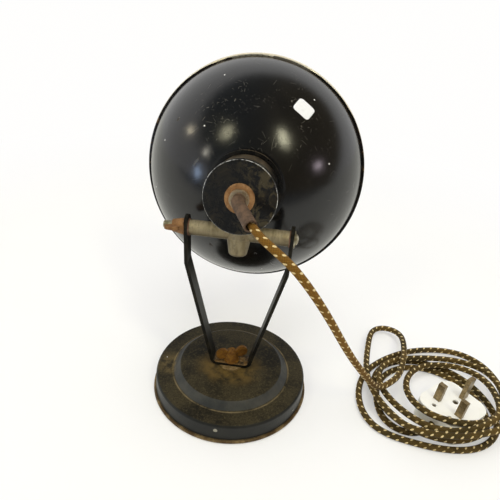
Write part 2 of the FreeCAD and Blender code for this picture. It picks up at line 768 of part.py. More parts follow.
def make_yoke():
    node("yoke_strap", yoke_strap())
    washer = tube("washer_above", S.strap_washer_dia, stud_hole, S.strap_washer_thick,
                  (0, 0, strap_top))
    node("strap_washer", washer)
    node("base_wing_nut", wing_nut("base_nut"), stand_base_nut)
    node("pivot_bolt", pivot_bolt(), on_pivot)
    fibre = S.fibre_washer_thick
    steel = S.bolt_washer_thick
    rings = (
        ("fibre_washer_right", S.fibre_washer_dia, fibre, tee_half),
        ("fibre_washer_left", S.fibre_washer_dia, fibre, -arm_inner),
        ("bolt_head_washer", S.bolt_washer_dia, steel, arm_outer),
        ("pivot_nut_washer", S.bolt_washer_dia, steel, -bolt_seat),
    )
    for name, dia, thick, start in rings:
        node(name, tube(f"{name}_ring", dia, stud_hole, thick, (start, 0, 0), "X"), on_pivot)
    node("pivot_wing_nut", wing_nut("pivot_nut"), stand_pivot_nut)


# ---------------------------------------------------------------- head

def tee_bracket():
    """A casting: cross tube on the bolt, boss below it, and a saddle that fits the neck."""
    cross = cylinder("tee_tube", S.tee_tube_dia, 2 * tee_half, (-tee_half, 0, 0), "X")
    straight = S.tee_boss_straight
    upper = cylinder("tee_upper", S.tee_boss_dia, straight + S.neck_lift, (0, 0, -straight))
    taper = S.tee_boss_reach - straight
    lower = cone("tee_lower", S.tee_boss_dia, S.tee_boss_tip_dia, taper, (0, 0, -straight), "-Z")
    doc.recompute()
    soft_tip = doc.addObject("Part::Fillet", "tee_soft_tip")
    soft_tip.Base = lower
    tip_edges = [
        (index, value(S.tee_boss_round), value(S.tee_boss_round))
        for index, edge in enumerate(lower.Shape.Edges, start=1)
        if circle_edge(S.tee_boss_tip_dia, -S.tee_boss_reach)(edge)
    ]
    soft_tip.Edges = tip_edges
    long_neck = 4 * S.tee_boss_dia
    saddle = cylinder("tee_saddle", S.neck_dia, long_neck, (0, -long_neck / 2, S.neck_lift), "Y")
    bore = cylinder("tee_bore", stud_hole, 2 * arm_outer, (-arm_outer, 0, 0), "X")
    holes = []
    for side, word in ((1, "front"), (-1, "back")):
        hole_dia = S.bracket_screw_dia + 2 * S.fit
        foot = bracket_screw_seat - S.bracket_screw_length - S.fit
        place = (0, side * S.bracket_screw_pitch / 2, foot)
        holes.append(cylinder(f"tee_hole_{word}", hole_dia, S.neck_lift, place))
    return cut("tee", fuse("tee_blank", cross, upper, soft_tip), saddle, bore, *holes)


neck_inner = S.neck_dia / 2 - S.neck_gauge
half_head = S.bracket_screw_head / 2
bracket_screw_seat = S.neck_lift - root(neck_inner * neck_inner - half_head * half_head)


def bracket_screw(word, side):
    y = side * S.bracket_screw_pitch / 2
    seat = bracket_screw_seat
    head_place = (0, y, seat)
    head = cylinder(f"pan_{word}", S.bracket_screw_head, S.bracket_screw_head_thick, head_place)
    foot = (0, y, seat - S.bracket_screw_length)
    shank = cylinder(f"pan_shank_{word}", S.bracket_screw_dia, S.bracket_screw_length, foot)
    return fuse(f"pan_screw_{word}", head, shank)


def neck_tube():
    """The neck: a drawn tube with a flange that clamps the reflector to its collar."""
    seat = S.neck_front + S.shade_gauge
    body = spun(
        "neck_drawn",
        "XY_Plane",
        [
            (S.neck_dia / 2 - S.neck_gauge, cap_inside),
            (S.neck_dia / 2, cap_inside),
            (S.neck_dia / 2, seat),
            (S.neck_flange_dia / 2, seat),
            (S.neck_flange_dia / 2, seat + S.neck_gauge),
            (S.neck_dia / 2 - S.neck_gauge, seat + S.neck_gauge),
        ],
        lift=S.neck_lift,
    )
    holes = []
    for side, word in ((1, "front"), (-1, "back")):
        hole_dia = S.bracket_screw_dia + 2 * S.fit
        place = (0, side * S.bracket_screw_pitch / 2, neck_bottom - S.neck_gauge)
        holes.append(cylinder(f"neck_hole_{word}", hole_dia, 4 * S.neck_gauge, place))
    return cut("neck", body, *holes)


def end_cap():
    outer = S.neck_dia / 2 + S.fit + S.neck_gauge
    inner = S.neck_dia / 2 + S.fit
    edge = S.cap_edge_round
    front = cap_back + S.cap_lip
    hole = S.nipple_dia / 2 + S.fit
    return spun(
        "cap_pressed",
        "XY_Plane",
        [
            (hole, cap_back),
            (outer - edge, cap_back, edge),
            (outer, cap_back + edge),
            (outer, front),
            (inner, front),
            (inner, cap_inside),
            (hole, cap_inside),
        ],
        lift=S.neck_lift,
    )


def shade():
    """The reflector: a flat seat round the neck, a dome, and an edge rolled round a wire."""
    gauge = S.shade_gauge
    sheet_body = spun(
        "shade_sheet",
        "XY_Plane",
        [
            (S.neck_dia / 2 + S.fit, S.neck_front),
            (S.seat_dia / 2, S.neck_front, S.dome_round),
            (S.rim_dia / 2, S.rim_front),
            (S.rim_dia / 2 - gauge, S.rim_front, -(S.dome_round - gauge)),
            (S.seat_dia / 2, S.neck_front + gauge),
            (S.neck_dia / 2 + S.fit, S.neck_front + gauge),
        ],
        lift=S.neck_lift,
    )
    edge = torus("shade_edge", S.rim_dia, S.rim_wire, (0, S.rim_front, S.neck_lift), "Y")
    return fuse("shade_rolled", sheet_body, edge)


def on_axis(name, dia, start, length):
    """A cylinder on the reflector's axis."""
    return cylinder(name, dia, length, (0, start, S.neck_lift), "Y")


def ring_on_axis(name, dia, bore, start, length):
    return tube(name, dia, bore, length, (0, start, S.neck_lift), "Y")


def sleeve_path():
    """The sleeve's centre line in the head's axes, as edges, and its direction at the mouth."""
    start = V(0, value(sleeve_root), value(S.neck_lift))
    back = V(0, -1, 0)
    lean = math.radians(value(S.sleeve_side_angle))
    aside = V(math.sin(lean), 0, -math.cos(lean))
    bend = math.radians(value(S.sleeve_bend_angle))
    radius = value(S.sleeve_bend_round)
    bend_start = start + back * value(S.sleeve_start)
    centre = bend_start + aside * radius

    def on_bend(angle):
        return centre + back * (radius * math.sin(angle)) - aside * (radius * math.cos(angle))

    heading = back * math.cos(bend) + aside * math.sin(bend)
    bend_end = on_bend(bend)
    mouth = bend_end + heading * value(S.sleeve_end)
    edges = [
        Part.LineSegment(start, bend_start).toShape(),
        Part.Arc(bend_start, on_bend(bend / 2), bend_end).toShape(),
        Part.LineSegment(bend_end, mouth).toShape(),
    ]
    return edges, mouth, heading


def round_sweep(edges, start, heading, dia):
    """A round bar swept along a path of tangent lines and arcs."""
    disc = Part.Wire([Part.makeCircle(dia / 2, start, heading)])
    return Part.Wire(edges).makePipeShell([disc], True, False)


def solid_feature(name, shape):
    feature = doc.addObject("Part::Feature", name)
    feature.Shape = shape
    return feature


def cord_sleeve():
    """A bent sleeve over the lead, butted to the gland nut, with an open mouth."""
    edges, mouth, heading = sleeve_path()
    start = V(0, value(sleeve_root), value(S.neck_lift))
    bar = round_sweep(edges, start, V(0, -1, 0), value(S.sleeve_dia))
    depth = value(S.sleeve_socket)
    socket = Part.makeCylinder(value(S.sleeve_bore) / 2, depth, mouth - heading * depth, heading)
    return solid_feature("sleeve", bar.cut(socket))


def lampholder_body():
    hole = S.nipple_dia / 2 + S.fit
    nipple_end = S.holder_back + S.lock_nut_thick * 2
    outline = [
        (hole, S.holder_back),
        (S.holder_dia / 2, S.holder_back),
        (S.holder_dia / 2, S.holder_front),
        (S.socket_dia / 2, S.holder_front),
        (S.socket_dia / 2, S.socket_floor),
        (0, S.socket_floor),
        (0, nipple_end),
        (hole, nipple_end),
    ]
    body = spun("holder_moulded", "XY_Plane", outline, lift=S.neck_lift)
    slot_start = S.socket_floor + S.cap_pin_place - S.slot_width / 2
    slots = centred_box(
        "holder_slots",
        2 * S.holder_dia,
        2 * (S.holder_front - slot_start),
        S.slot_width,
        (0, S.holder_front, S.neck_lift - S.slot_width / 2),
    )
    contacts = []
    for side, word in ((1, "right"), (-1, "left")):
        place = (side * S.plunger_pitch / 2, S.socket_floor - S.plunger_depth, S.neck_lift)
        contacts.append(cylinder(f"contact_well_{word}", S.plunger_dia, S.plunger_depth, place, "Y"))
    return cut("holder", body, slots, *contacts)


def bulb_cap():
    start = S.socket_floor + S.plunger_reach
    shell = ring_on_axis("cap_shell", S.cap_dia, S.cap_dia - 2 * S.cap_sheet, start, S.cap_length)
    end = on_axis("cap_end", S.cap_dia, start, 2 * S.cap_sheet)
    pin_y = S.socket_floor + S.cap_pin_place
    pins = []
    pin_length = (S.cap_pin_span - S.cap_dia) / 2 + S.cap_sheet / 2
    for side, along, word in ((1, "X", "right"), (-1, "-X", "left")):
        start_x = side * (S.cap_dia / 2 - S.cap_sheet / 2)
        place = (start_x, pin_y, S.neck_lift)
        pins.append(cylinder(f"cap_pin_{word}", S.cap_pin_dia, pin_length, place, along))
    return fuse("bulb_cap_made", shell, end, *pins)


def bulb_glass():
    wall = S.glass_wall
    ball = S.globe_dia / 2
    neck = S.glass_neck_dia / 2
    inner_ball = ball - wall
    inner_neck = neck - wall
    neck_end = S.globe_centre - root(ball * ball - neck * neck)
    inner_end = S.globe_centre - root(inner_ball * inner_ball - inner_neck * inner_neck)
    start = S.socket_floor + S.plunger_reach + S.cap_length / 2
    return spun(
        "glass_blown",
        "XY_Plane",
        [
            (neck, start),
            (neck, neck_end, ball),
            (0, S.globe_centre + ball),
            (0, S.globe_centre + inner_ball, -inner_ball),
            (inner_neck, inner_end),
            (inner_neck, start),
        ],
        lift=S.neck_lift,
    )


def make_head():
    node("tee_bracket", tee_bracket(), in_head)
    node("bracket_screw_front", bracket_screw("front", 1), in_head)
    node("bracket_screw_back", bracket_screw("back", -1), in_head)
    node("neck_tube", neck_tube(), in_head)
    node("end_cap", end_cap(), in_head)
    collar_start = S.neck_front - S.collar_length
    collar_bore = S.neck_dia + 2 * S.fit
    collar = ring_on_axis("collar", S.collar_dia, collar_bore, collar_start, S.collar_length)
    node("neck_collar", collar, in_head)
    node("shade", shade(), in_head)
    nipple_hole = S.nipple_dia + 2 * S.fit
    washer = ring_on_axis("entry_washer", S.flange_washer_dia, nipple_hole, gland_seat,
                          S.flange_washer_thick)
    node("flange_washer", washer, in_head)
    gland = ring_on_axis("entry_nut", S.gland_nut_dia, nipple_hole, sleeve_root, S.gland_nut_thick)
    node("gland_nut", gland, in_head)
    nipple_length = S.holder_back + 2 * S.lock_nut_thick - sleeve_root
    nipple = ring_on_axis("entry_tube", S.nipple_dia, S.nipple_bore, sleeve_root, nipple_length)
    node("entry_nipple", nipple, in_head)
    lock_at = (0, cap_inside, S.neck_lift)
    lock_blank = hexagon("lock_blank", S.lock_nut_dia, S.lock_nut_thick, lock_at, "Y")
    lock_bore = on_axis("lock_bore", nipple_hole, cap_inside, S.lock_nut_thick)
    node("lock_nut", cut("lock", lock_blank, lock_bore), in_head)
    node("cord_sleeve", cord_sleeve(), in_head)
    node("lampholder_body", lampholder_body(), in_head)
    ring = ring_on_axis("shade_ring", S.holder_ring_dia, S.holder_dia + 2 * S.fit,
                        S.holder_ring_back, S.holder_ring_length)
    node("lampholder_ring", ring, in_head)
    plunger_length = S.plunger_depth + S.plunger_reach
    for side, word in ((1, "right"), (-1, "left")):
        place = (side * S.plunger_pitch / 2, S.socket_floor - S.plunger_depth, S.neck_lift)
        plunger = cylinder(f"plunger_{word}", S.plunger_dia, plunger_length, place, "Y")
        node(f"contact_{word}", framed(f"plunger_{word}_placed", plunger), in_head)
    node("bulb_cap", bulb_cap(), in_head)
    node("bulb_glass", bulb_glass(), in_head)


# ---------------------------------------------------------------- lead

# Chosen points of the free stretch, from a little beyond the sleeve down into the coil.
CORD_ROUTE = [
    V(27.5, -60.0, 183.5),
    V(43.9, -64.0, 172.4),
    V(65.6, -59.0, 141.9),
    V(92.1, -42.0, 91.3),
    V(110.0, -27.5, 60.5),
    V(125.7, -13.0, 33.4),
    V(141.0, 4.0, 7.0),
]
EXIT_RUN = 8.0
ARC_SHARE = 0.45


def rounded_route(points, label):
    """Straight runs joined by tangent arcs, each as large as its two runs allow."""
    edges = []
    radii = []
    last = points[0]
    for before, corner, after in zip(points, points[1:], points[2:]):
        into = corner - before
        out = after - corner
        turn = into.getAngle(out)
        trim = ARC_SHARE * min(into.Length, out.Length)
        radii.append(trim / math.tan(turn / 2))
        into.normalize()
        out.normalize()
        start = corner - into * trim
        end = corner + out * trim
        bisector = (out - into).normalize()
        centre_gap = radii[-1] / math.cos(turn / 2)
        middle = corner + bisector * (centre_gap - radii[-1])
        edges.append(Part.LineSegment(last, start).toShape())
        edges.append(Part.Arc(start, middle, end).toShape())
        last = end
    edges.append(Part.LineSegment(last, points[-1]).toShape())
    print(label, "radii", [round(radius, 1) for radius in radii])
    return edges


def lead_solid(label, edges, start, heading):
    """A lead's solid, with its volume compared with its section times its length."""
    dia = value(S.cord_dia)
    bar = round_sweep(edges, start, heading, dia)
    length = sum(edge.Length for edge in edges)
    expected = math.pi * dia * dia / 4 * length
    print(label, "length", round(length, 1), "volume ratio", round(bar.Volume / expected, 5))
    if abs(bar.Volume / expected - 1) > 0.002:
        raise RuntimeError(f"{label}: the swept volume is wrong")
    return bar


def cord_drop():
    """The lead from the sleeve's socket down to the coil."""
    edges, mouth, heading = sleeve_path()
    head_place = FreeCAD.Placement(
        V(0, 0, value(S.pivot_height)), FreeCAD.Rotation(X_AXIS, value(S.tilt_angle))
    )
    heading = head_place.Rotation.multVec(heading)
    mouth = head_place.multVec(mouth)
    start = mouth - heading * value(S.sleeve_socket)
    points = [start, mouth + heading * EXIT_RUN] + CORD_ROUTE
    route = rounded_route(points, "cord_drop")
    return solid_feature("drop", lead_solid("cord_drop", route, start, heading))


def cord_coil():
    """The outer shape of the coil: a low ring round the plug, and a stray loop beside it."""
    centre = (S.coil_centre_x, S.coil_centre_y, 0)
    disc = cylinder("coil_disc", S.coil_dia, S.coil_height, centre)
    loop_at = (S.loop_centre_x, S.loop_centre_y, S.cord_dia / 2 + S.loop_lift)
    loop = torus("coil_loop", S.loop_dia, S.cord_dia, loop_at)
    middle_x, middle_y = plug_middle()
    hole = cylinder("coil_hole", S.coil_hole_dia, S.coil_height, (middle_x, middle_y, 0))
    return cut("coil", fuse("coil_blank", disc, loop), hole)


def plug_heading():
    """The way from the flat pins to the earth pin, on the table."""
    angle = math.radians(value(S.plug_angle))
    return V(-math.sin(angle), math.cos(angle), 0)


def plug_middle():
    """The middle of the plug's outline, on the table."""
    ahead = S.plug_length / 2 - S.plug_behind_pins
    heading = plug_heading()
    return S.plug_x + heading.x * ahead, S.plug_y + heading.y * ahead


def cord_tail():
    """The lead's last stretch, from the coil's inner side into the plug."""
    heading = plug_heading()
    middle = V(*[value(part) for part in plug_middle()], value(S.cord_entry_height))
    end = middle - heading * (value(S.plug_length) / 2)
    start = middle - heading * (value(S.coil_hole_dia) / 2 + value(S.cord_sunk))
    edge = Part.LineSegment(start, end).toShape()
    return solid_feature("tail", lead_solid("cord_tail", [edge], start, heading))


# ---------------------------------------------------------------- plug

def plug_block(name, inset, foot, height):
    """A rounded block of the plug's outline, drawn about the middle of the flat pins."""
    body = new_body(name)
    half = S.plug_width / 2 - inset
    back = -S.plug_behind_pins + inset
    front = S.plug_length - S.plug_behind_pins - inset
    corners = [(-half, back), (half, back), (half, front), (-half, front)]
    sketch = outline_sketch(body, f"{name}_outline", "XY_Plane", corners, foot)
    pad = body.newObject("PartDesign::Pad", f"{name}_pad")
    pad.Profile = sketch
    bind(pad, "Length", height)
    body.Tip = pad

    def upright(edge):
        return abs(edge.Vertexes[0].Z - edge.Vertexes[-1].Z) > value(height) / 2

    rounded(body, f"{name}_corners", S.plug_corner - inset, upright)
    return body


def plug_cover():
    """The hollow cover, lying on the table, open to the block above it."""
    outer = plug_block("cover_block", as_size(0), as_size(0), S.plug_cover_height)
    hollow = plug_block("cover_hollow", S.plug_wall, S.plug_wall, S.plug_cover_height)
    entry_dia = S.cord_dia + 2 * S.fit
    reach = 3 * S.plug_wall
    entry_at = (0, -S.plug_behind_pins - S.plug_wall, S.cord_entry_height)
    entry = cylinder("cover_entry", entry_dia, reach, entry_at, "Y")
    return cut("cover_moulded", outer, hollow, entry)


PINS = (("line", 1, 0), ("neutral", -1, 0), ("earth", 0, 1))


def pin_sizes(word):
    """Width across, width along and length of a pin."""
    if word == "earth":
        return S.pin_thick, S.earth_pin_width, S.earth_pin_length
    return S.pin_width, S.pin_thick, S.pin_length


def pin_blade(name, word, sideways, forward, clearance):
    """The blade of a pin, from the underside of the block to its tip."""
    across, along, length = pin_sizes(word)
    place = (sideways * S.pin_pitch / 2, forward * S.pin_pitch, S.plug_cover_height)
    size_x = across + 2 * clearance
    size_y = along + 2 * clearance
    return centred_box(name, size_x, size_y, S.plug_base_thick + length, place)


def plug_pin(word, sideways, forward):
    blade = pin_blade(f"blade_{word}", word, sideways, forward, as_size(0))
    side = S.terminal_size
    foot = S.plug_cover_height - S.terminal_height
    place = (sideways * S.pin_pitch / 2, forward * S.pin_pitch, foot)
    terminal = centred_box(f"terminal_{word}", side, side, S.terminal_height, place)
    return fuse(f"pin_{word}", blade, terminal)


def plug_base():
    """The block that closes the cover and holds the pins, with its screw wells."""
    face = S.plug_cover_height + S.plug_base_thick
    block = plug_block("pin_block", as_size(0), S.plug_cover_height, S.plug_base_thick)
    holes = [
        pin_blade(f"socket_{word}", word, sideways, forward, S.fit / 2)
        for word, sideways, forward in PINS
    ]
    deep = S.plug_screw_depth
    for index, (dia, x, y) in enumerate(plug_screw_places()):
        holes.append(cylinder(f"well_{index}", dia + 2 * S.fit, deep, (x, y, face - deep)))
        bore_dia = dia * SHANK_SHARE + 2 * S.fit
        bore_at = (x, y, S.plug_cover_height)
        holes.append(cylinder(f"well_bore_{index}", bore_dia, S.plug_base_thick, bore_at))
    return cut("pin_block_drilled", block, *holes)


SHANK_SHARE = 0.6


def plug_screw_places():
    """Head diameter and place of the fixing screw and the two cord grip screws."""
    half = S.grip_screw_pitch / 2
    return [
        (S.plug_screw_dia, as_size(0), S.plug_screw_place),
        (S.grip_screw_dia, half, S.grip_screw_place),
        (S.grip_screw_dia, -half, S.grip_screw_place),
    ]


def plug_screw(index, dia, x, y):
    """A cheese head on the floor of its well, and its shank through the block."""
    floor = S.plug_cover_height + S.plug_base_thick - S.plug_screw_depth
    head = cylinder(f"cheese_{index}", dia, S.plug_screw_depth / 2, (x, y, floor))
    foot = S.plug_cover_height - S.plug_screw_reach
    shank_at = (x, y, foot)
    shank = cylinder(f"cheese_shank_{index}", dia * SHANK_SHARE, floor - foot, shank_at)
    return fuse(f"cheese_screw_{index}", head, shank)


def plug_fuse():
    """A cartridge fuse with two end caps, under the block beside the line pin."""
    across = S.plug_width / 2 - S.plug_wall - S.fuse_dia / 2 - S.fit
    height = S.plug_cover_height - S.fuse_dia / 2 - S.fit
    start = -S.fuse_length / 4
    barrel_dia = S.fuse_dia - 4 * S.fit
    barrel = cylinder("fuse_barrel", barrel_dia, S.fuse_length, (across, start, height), "Y")
    back = cylinder("fuse_back", S.fuse_dia, S.fuse_end, (across, start, height), "Y")
    front_start = start + S.fuse_length - S.fuse_end
    front = cylinder("fuse_front", S.fuse_dia, S.fuse_end, (across, front_start, height), "Y")
    return fuse("fuse_made", barrel, back, front)


def make_plug():
    node("plug_cover", plug_cover(), in_plug)
    node("plug_base", plug_base(), in_plug)
    for word, sideways, forward in PINS:
        node(f"plug_pin_{word}", plug_pin(word, sideways, forward), in_plug)
    for index, (dia, x, y) in enumerate(plug_screw_places()):
        node(f"plug_screw_{index + 1}", plug_screw(index, dia, x, y), in_plug)
    node("plug_fuse", plug_fuse(), in_plug)


def make_lead():
    node("cord_drop", cord_drop())
    node("cord_coil", cord_coil())
    node("cord_tail", cord_tail())
    make_plug()


# ---------------------------------------------------------------- check and write

make_base()
make_yoke()
make_head()
make_lead()
doc.recompute()

for thing in doc.Objects:
    if "Invalid" in thing.State or "Error" in thing.State:
        raise RuntimeError(f"{thing.Name} failed: {thing.State}")
for piece in NODES:
    shape = piece.Shape
    if shape.isNull() or not shape.isValid() or not shape.Solids:
        raise RuntimeError(f"{piece.Label} has no valid solid")

os.makedirs("parts", exist_ok=True)
for piece in NODES:
    piece.Shape.exportStep(f"parts/{piece.Label}.step")
    solids = len(piece.Shape.Solids)
    print(f"{piece.Label}: {solids} solid, {piece.Shape.Volume:.1f} mm3")
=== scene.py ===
import math

import bmesh
import bpy
import numpy as np
from mathutils import Matrix, Vector


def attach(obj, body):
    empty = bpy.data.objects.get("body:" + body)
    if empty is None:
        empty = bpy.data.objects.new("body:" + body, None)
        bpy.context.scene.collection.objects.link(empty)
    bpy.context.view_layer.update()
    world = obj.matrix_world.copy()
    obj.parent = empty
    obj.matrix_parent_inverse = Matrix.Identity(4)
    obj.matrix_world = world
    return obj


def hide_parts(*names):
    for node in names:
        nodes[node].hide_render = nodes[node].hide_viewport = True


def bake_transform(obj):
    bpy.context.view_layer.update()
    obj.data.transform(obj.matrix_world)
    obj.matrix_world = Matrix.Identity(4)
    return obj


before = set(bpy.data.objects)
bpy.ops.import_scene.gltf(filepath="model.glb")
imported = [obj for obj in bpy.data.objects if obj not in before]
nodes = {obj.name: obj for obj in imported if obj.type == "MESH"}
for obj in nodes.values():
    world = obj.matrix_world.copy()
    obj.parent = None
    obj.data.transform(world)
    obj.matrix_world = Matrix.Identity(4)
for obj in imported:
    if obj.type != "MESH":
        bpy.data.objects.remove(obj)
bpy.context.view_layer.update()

MM = 0.001

# ------------------------ the object's own directions
TILT_Z = 158.6  # height of the tilt bolt above the table
NOSE_DOWN = math.radians(11.51)  # the reflector faces this far below the horizon
NECK_ABOVE_BOLT = 29.6
DOME_CENTRE_AHEAD = 104.71  # centre of the dome's arc, along its axis from the bolt
DOME_CENTRE_OUT = 0.30  # that centre's distance from the axis
DOME_RADIUS = 94.5
RIM_AHEAD = 84.0  # middle of the rolled edge, along the axis from the bolt
ROLL = 4.2  # thickness of the rolled edge
HEAD_AXIS = Vector((0, math.cos(NOSE_DOWN), -math.sin(NOSE_DOWN)))
HEAD_UP = Vector((0, math.sin(NOSE_DOWN), math.cos(NOSE_DOWN)))
HEAD_ORIGIN = Vector((0, 0, TILT_Z)) + NECK_ABOVE_BOLT * HEAD_UP
DOME_CENTRE = HEAD_ORIGIN + DOME_CENTRE_AHEAD * HEAD_AXIS


# ------------------------ small calls
def new_object(name, data):
    made = bpy.data.objects.new(name, data)
    bpy.context.scene.collection.objects.link(made)
    return made


def turned(a, b, angle):
    """Two directions square to each other, both turned from the first towards the second."""
    return math.cos(angle) * a + math.sin(angle) * b, math.cos(angle) * b - math.sin(angle) * a


def new_mesh(name, work):
    """A mesh of what the bmesh holds; the bmesh is freed."""
    mesh = bpy.data.meshes.new(name)
    work.to_mesh(mesh)
    work.free()
    return mesh


class Graph:
    """Short calls that add shader nodes to a node tree and hand back one output of each."""

    def __init__(self, owner):
        owner.use_nodes = True
        self.tree = owner.node_tree

    def feed(self, target, value):
        """Links a socket to a node's output, or gives it a value; None leaves it alone."""
        if isinstance(value, bpy.types.NodeSocket):
            self.tree.links.new(value, target)
        elif value is not None:
            if hasattr(target.default_value, "__len__") and len(target.default_value) == 4:
                value = (*value[:3], 1)
            target.default_value = value

    def node(self, kind, inputs=(), out=0, **settings):
        made = self.tree.nodes.new("ShaderNode" + kind)
        for key, value in settings.items():
            setattr(made, key, value)
        for key, value in dict(inputs).items():
            self.feed(made.inputs[key], value)
        return made.outputs[out]

    def show(self, shader, output="Material Output"):
        self.feed(self.tree.nodes[output].inputs["Surface"], shader)

    def math(self, operation, a, b=None):
        return self.node("Math", {0: a, 1: b}, operation=operation)

    def times(self, first, *others):
        for other in others:
            first = self.math("MULTIPLY", first, other)
        return first

    all_of = times  # of masks

    def plus(self, a, b):
        return self.math("ADD", a, b)

    def minus(self, a, b):
        return self.math("SUBTRACT", a, b)

    def vector(self, operation, a, b=None, out=0):
        return self.node("VectorMath", {0: a, 1: b}, out=out, operation=operation)

    def dot(self, a, b):
        return self.vector("DOT_PRODUCT", a, b, "Value")

    def xyz(self, vector):
        made = self.tree.nodes.new("ShaderNodeSeparateXYZ")
        self.feed(made.inputs[0], vector)
        return made.outputs

    def step(self, value, low, high, unit=1.0):
        """0 below low and 1 above high, smooth between; low may be the larger one."""
        if low > high:
            return self.minus(1.0, self.step(value, high, low, unit))
        ends = {"From Min": low * unit, "From Max": high * unit}
        return self.node("MapRange", {"Value": value, **ends}, interpolation_type="SMOOTHSTEP")

    def band(self, value, low, high, soft, unit=1.0):
        """1 between low and high, with edges twice `soft` wide."""
        return self.all_of(self.step(value, low - soft, low + soft, unit),
                           self.step(value, high + soft, high - soft, unit))

    def scaled(self, value, low, high, start=None, end=None):
        """From low to high as the value goes from start to end, which are 0 and 1 if left out."""
        return self.node("MapRange", {
            "Value": value, "From Min": start, "From Max": end, "To Min": low, "To Max": high})

    def mix(self, share, a, b):
        return self.node("Mix", {0: share, 6: a, 7: b}, out=2, data_type="RGBA")

    def tones(self, value, low, high, a, b):
        """The colour a where the value is low, and b where it is high."""
        return self.mix(self.step(value, low, high), a, b)

    def any_of(self, first, *others):
        for other in others:
            first = self.math("MAXIMUM", first, other)
        return first


class Look(Graph):
    """A procedural material: one Principled shader and the nodes that feed it."""

    def __init__(self, name, gloss=0.5, **sockets):
        self.material = bpy.data.materials.new(name)
        super().__init__(self.material)
        self.shader = self.tree.nodes["Principled BSDF"]
        self.put(Specular_IOR_Level=gloss, **sockets)
        coordinates = self.tree.nodes.new("ShaderNodeTexCoord")
        self.place = coordinates.outputs["Object"]
        self.around_along = coordinates.outputs["UV"]
        self.normal = coordinates.outputs["Normal"]

    def lay(self, mask, thickness, tone):
        """One more tone over the look's colour where the mask is 1."""
        self.colour = self.mix(self.times(mask, thickness), self.colour, tone)

    def put(self, **sockets):
        """Gives shader sockets values, or links them to nodes' outputs."""
        for socket, value in sockets.items():
            self.feed(self.shader.inputs[socket.replace("_", " ")], value)

    def noise(self, scale, detail=4, roughness=0.55, place=None, distortion=0):
        """A noise of about `scale` features a metre, around 0.5."""
        return self.node("TexNoise", {
            "Vector": place or self.place, "Scale": scale, "Detail": detail,
            "Roughness": roughness, "Distortion": distortion})

    def offset(self, point):
        """From the point to each point of the surface, in metres."""
        return self.vector("SUBTRACT", self.place, point)

    def away_from(self, *point):
        """Distance from a point that is given in millimetres."""
        return self.vector("DISTANCE", self.place, tuple(part * MM for part in point), "Value")

    def facing_up(self, low, high):
        return self.step(self.xyz(self.normal)[2], low, high)

    def patches(self, low, high, *noise, **more):
        """Where a noise, given by its own arguments, rises from low to high."""
        return self.step(self.noise(*noise, **more), low, high)

    def cells(self, scale, place=None, out="Distance"):
        return self.node("TexVoronoi", {"Vector": place or self.place, "Scale": scale}, out=out)

    def specks(self, scale, chance):
        """Small round specks in the cells whose chance is that high."""
        chosen = self.step(self.xyz(self.cells(scale, out="Color"))[0], *chance)
        return self.all_of(self.step(self.cells(scale), 0.085, 0.06), chosen)

    def edges(self, radius, low=0.02, high=0.2):
        """Where the surface turns a corner sharper than the radius, in millimetres."""
        rounded = self.node("Bevel", {"Radius": radius * MM}, samples=6)
        turn = self.dot(rounded, self.node("NewGeometry", out="Normal"))
        return self.step(self.minus(1.0, turn), low, high)

    def bump(self, height, depth, strength=1.0, soft_edge=0.0):
        """Relief of about `depth` millimetres."""
        normal = self.node("Bevel", {"Radius": soft_edge * MM}, samples=4) if soft_edge else None
        self.put(Normal=self.node("Bump", {
            "Height": height, "Distance": depth * MM, "Strength": strength, "Normal": normal}))

    def strokes(self, spacing, length, width, share, offset=0.0):
        """Short fine scratches in all directions, about one to a cell; sizes in millimetres."""
        waves = self.node("TexNoise", {"Vector": self.place, "Scale": 55.0, "Detail": 1}, "Color")
        place = self.vector("ADD", self.place, self.vector("MULTIPLY", waves, (0.006,) * 3))
        place = self.vector("ADD", place, (offset, 0.7 * offset, 0.3 * offset))
        middle = self.cells(1 / (spacing * MM), place, "Position")
        chance = self.cells(1 / (spacing * MM), place, "Color")
        across = self.vector("NORMALIZE", self.vector("SUBTRACT", chance, (0.5, 0.5, 0.5)))
        away = self.vector("SUBTRACT", place, middle)
        off = self.math("ABSOLUTE", self.dot(away, across))
        far = self.vector("LENGTH", away, out="Value")
        red, green = self.xyz(chance)[:2]
        pick = self.math("FRACT", self.plus(self.times(red, 17.0), self.times(green, 31.0)))
        return self.all_of(self.step(off, width, 0.35 * width, MM),
                           self.step(far, 0.5 * length, 0.3 * length, MM),
                           self.step(pick, 1 - share, 1.001 - share))

    def paint(self, *names):
        self.put(Base_Color=self.colour)
        for name in names:
            slots = (nodes[name] if isinstance(name, str) else name).data.materials
            if not slots:
                slots.append(self.material)
            for index in range(len(slots)):
                slots[index] = self.material


def round_head_axis(look):
    """(distance along the head's axis, distance from it), in metres, at each point."""
    from_origin = look.offset(HEAD_ORIGIN * MM)
    along = look.dot(from_origin, HEAD_AXIS)
    total = look.vector("LENGTH", from_origin, out="Value")
    square = look.minus(look.times(total, total), look.times(along, along))
    return along, look.math("SQRT", look.any_of(square, 0.0))


# ------------------------ the lead
STRAND = 5.6  # the lead's thickness in millimetres, for laying the pile
LEAD_DIAMETER = STRAND * MM

# Out of the sleeve and down to the table.
LEAD_DROP = [(8.2, -35.9, 190), (15.4, -49.9, 187.4), (27.5, -60, 183.5), (43.9, -64, 172.4),
             (65.6, -59, 141.9), (92.1, -42, 91.3), (110, -27.5, 60.5), (123, -15.5, 38),
             (134.5, -4.5, 24)]
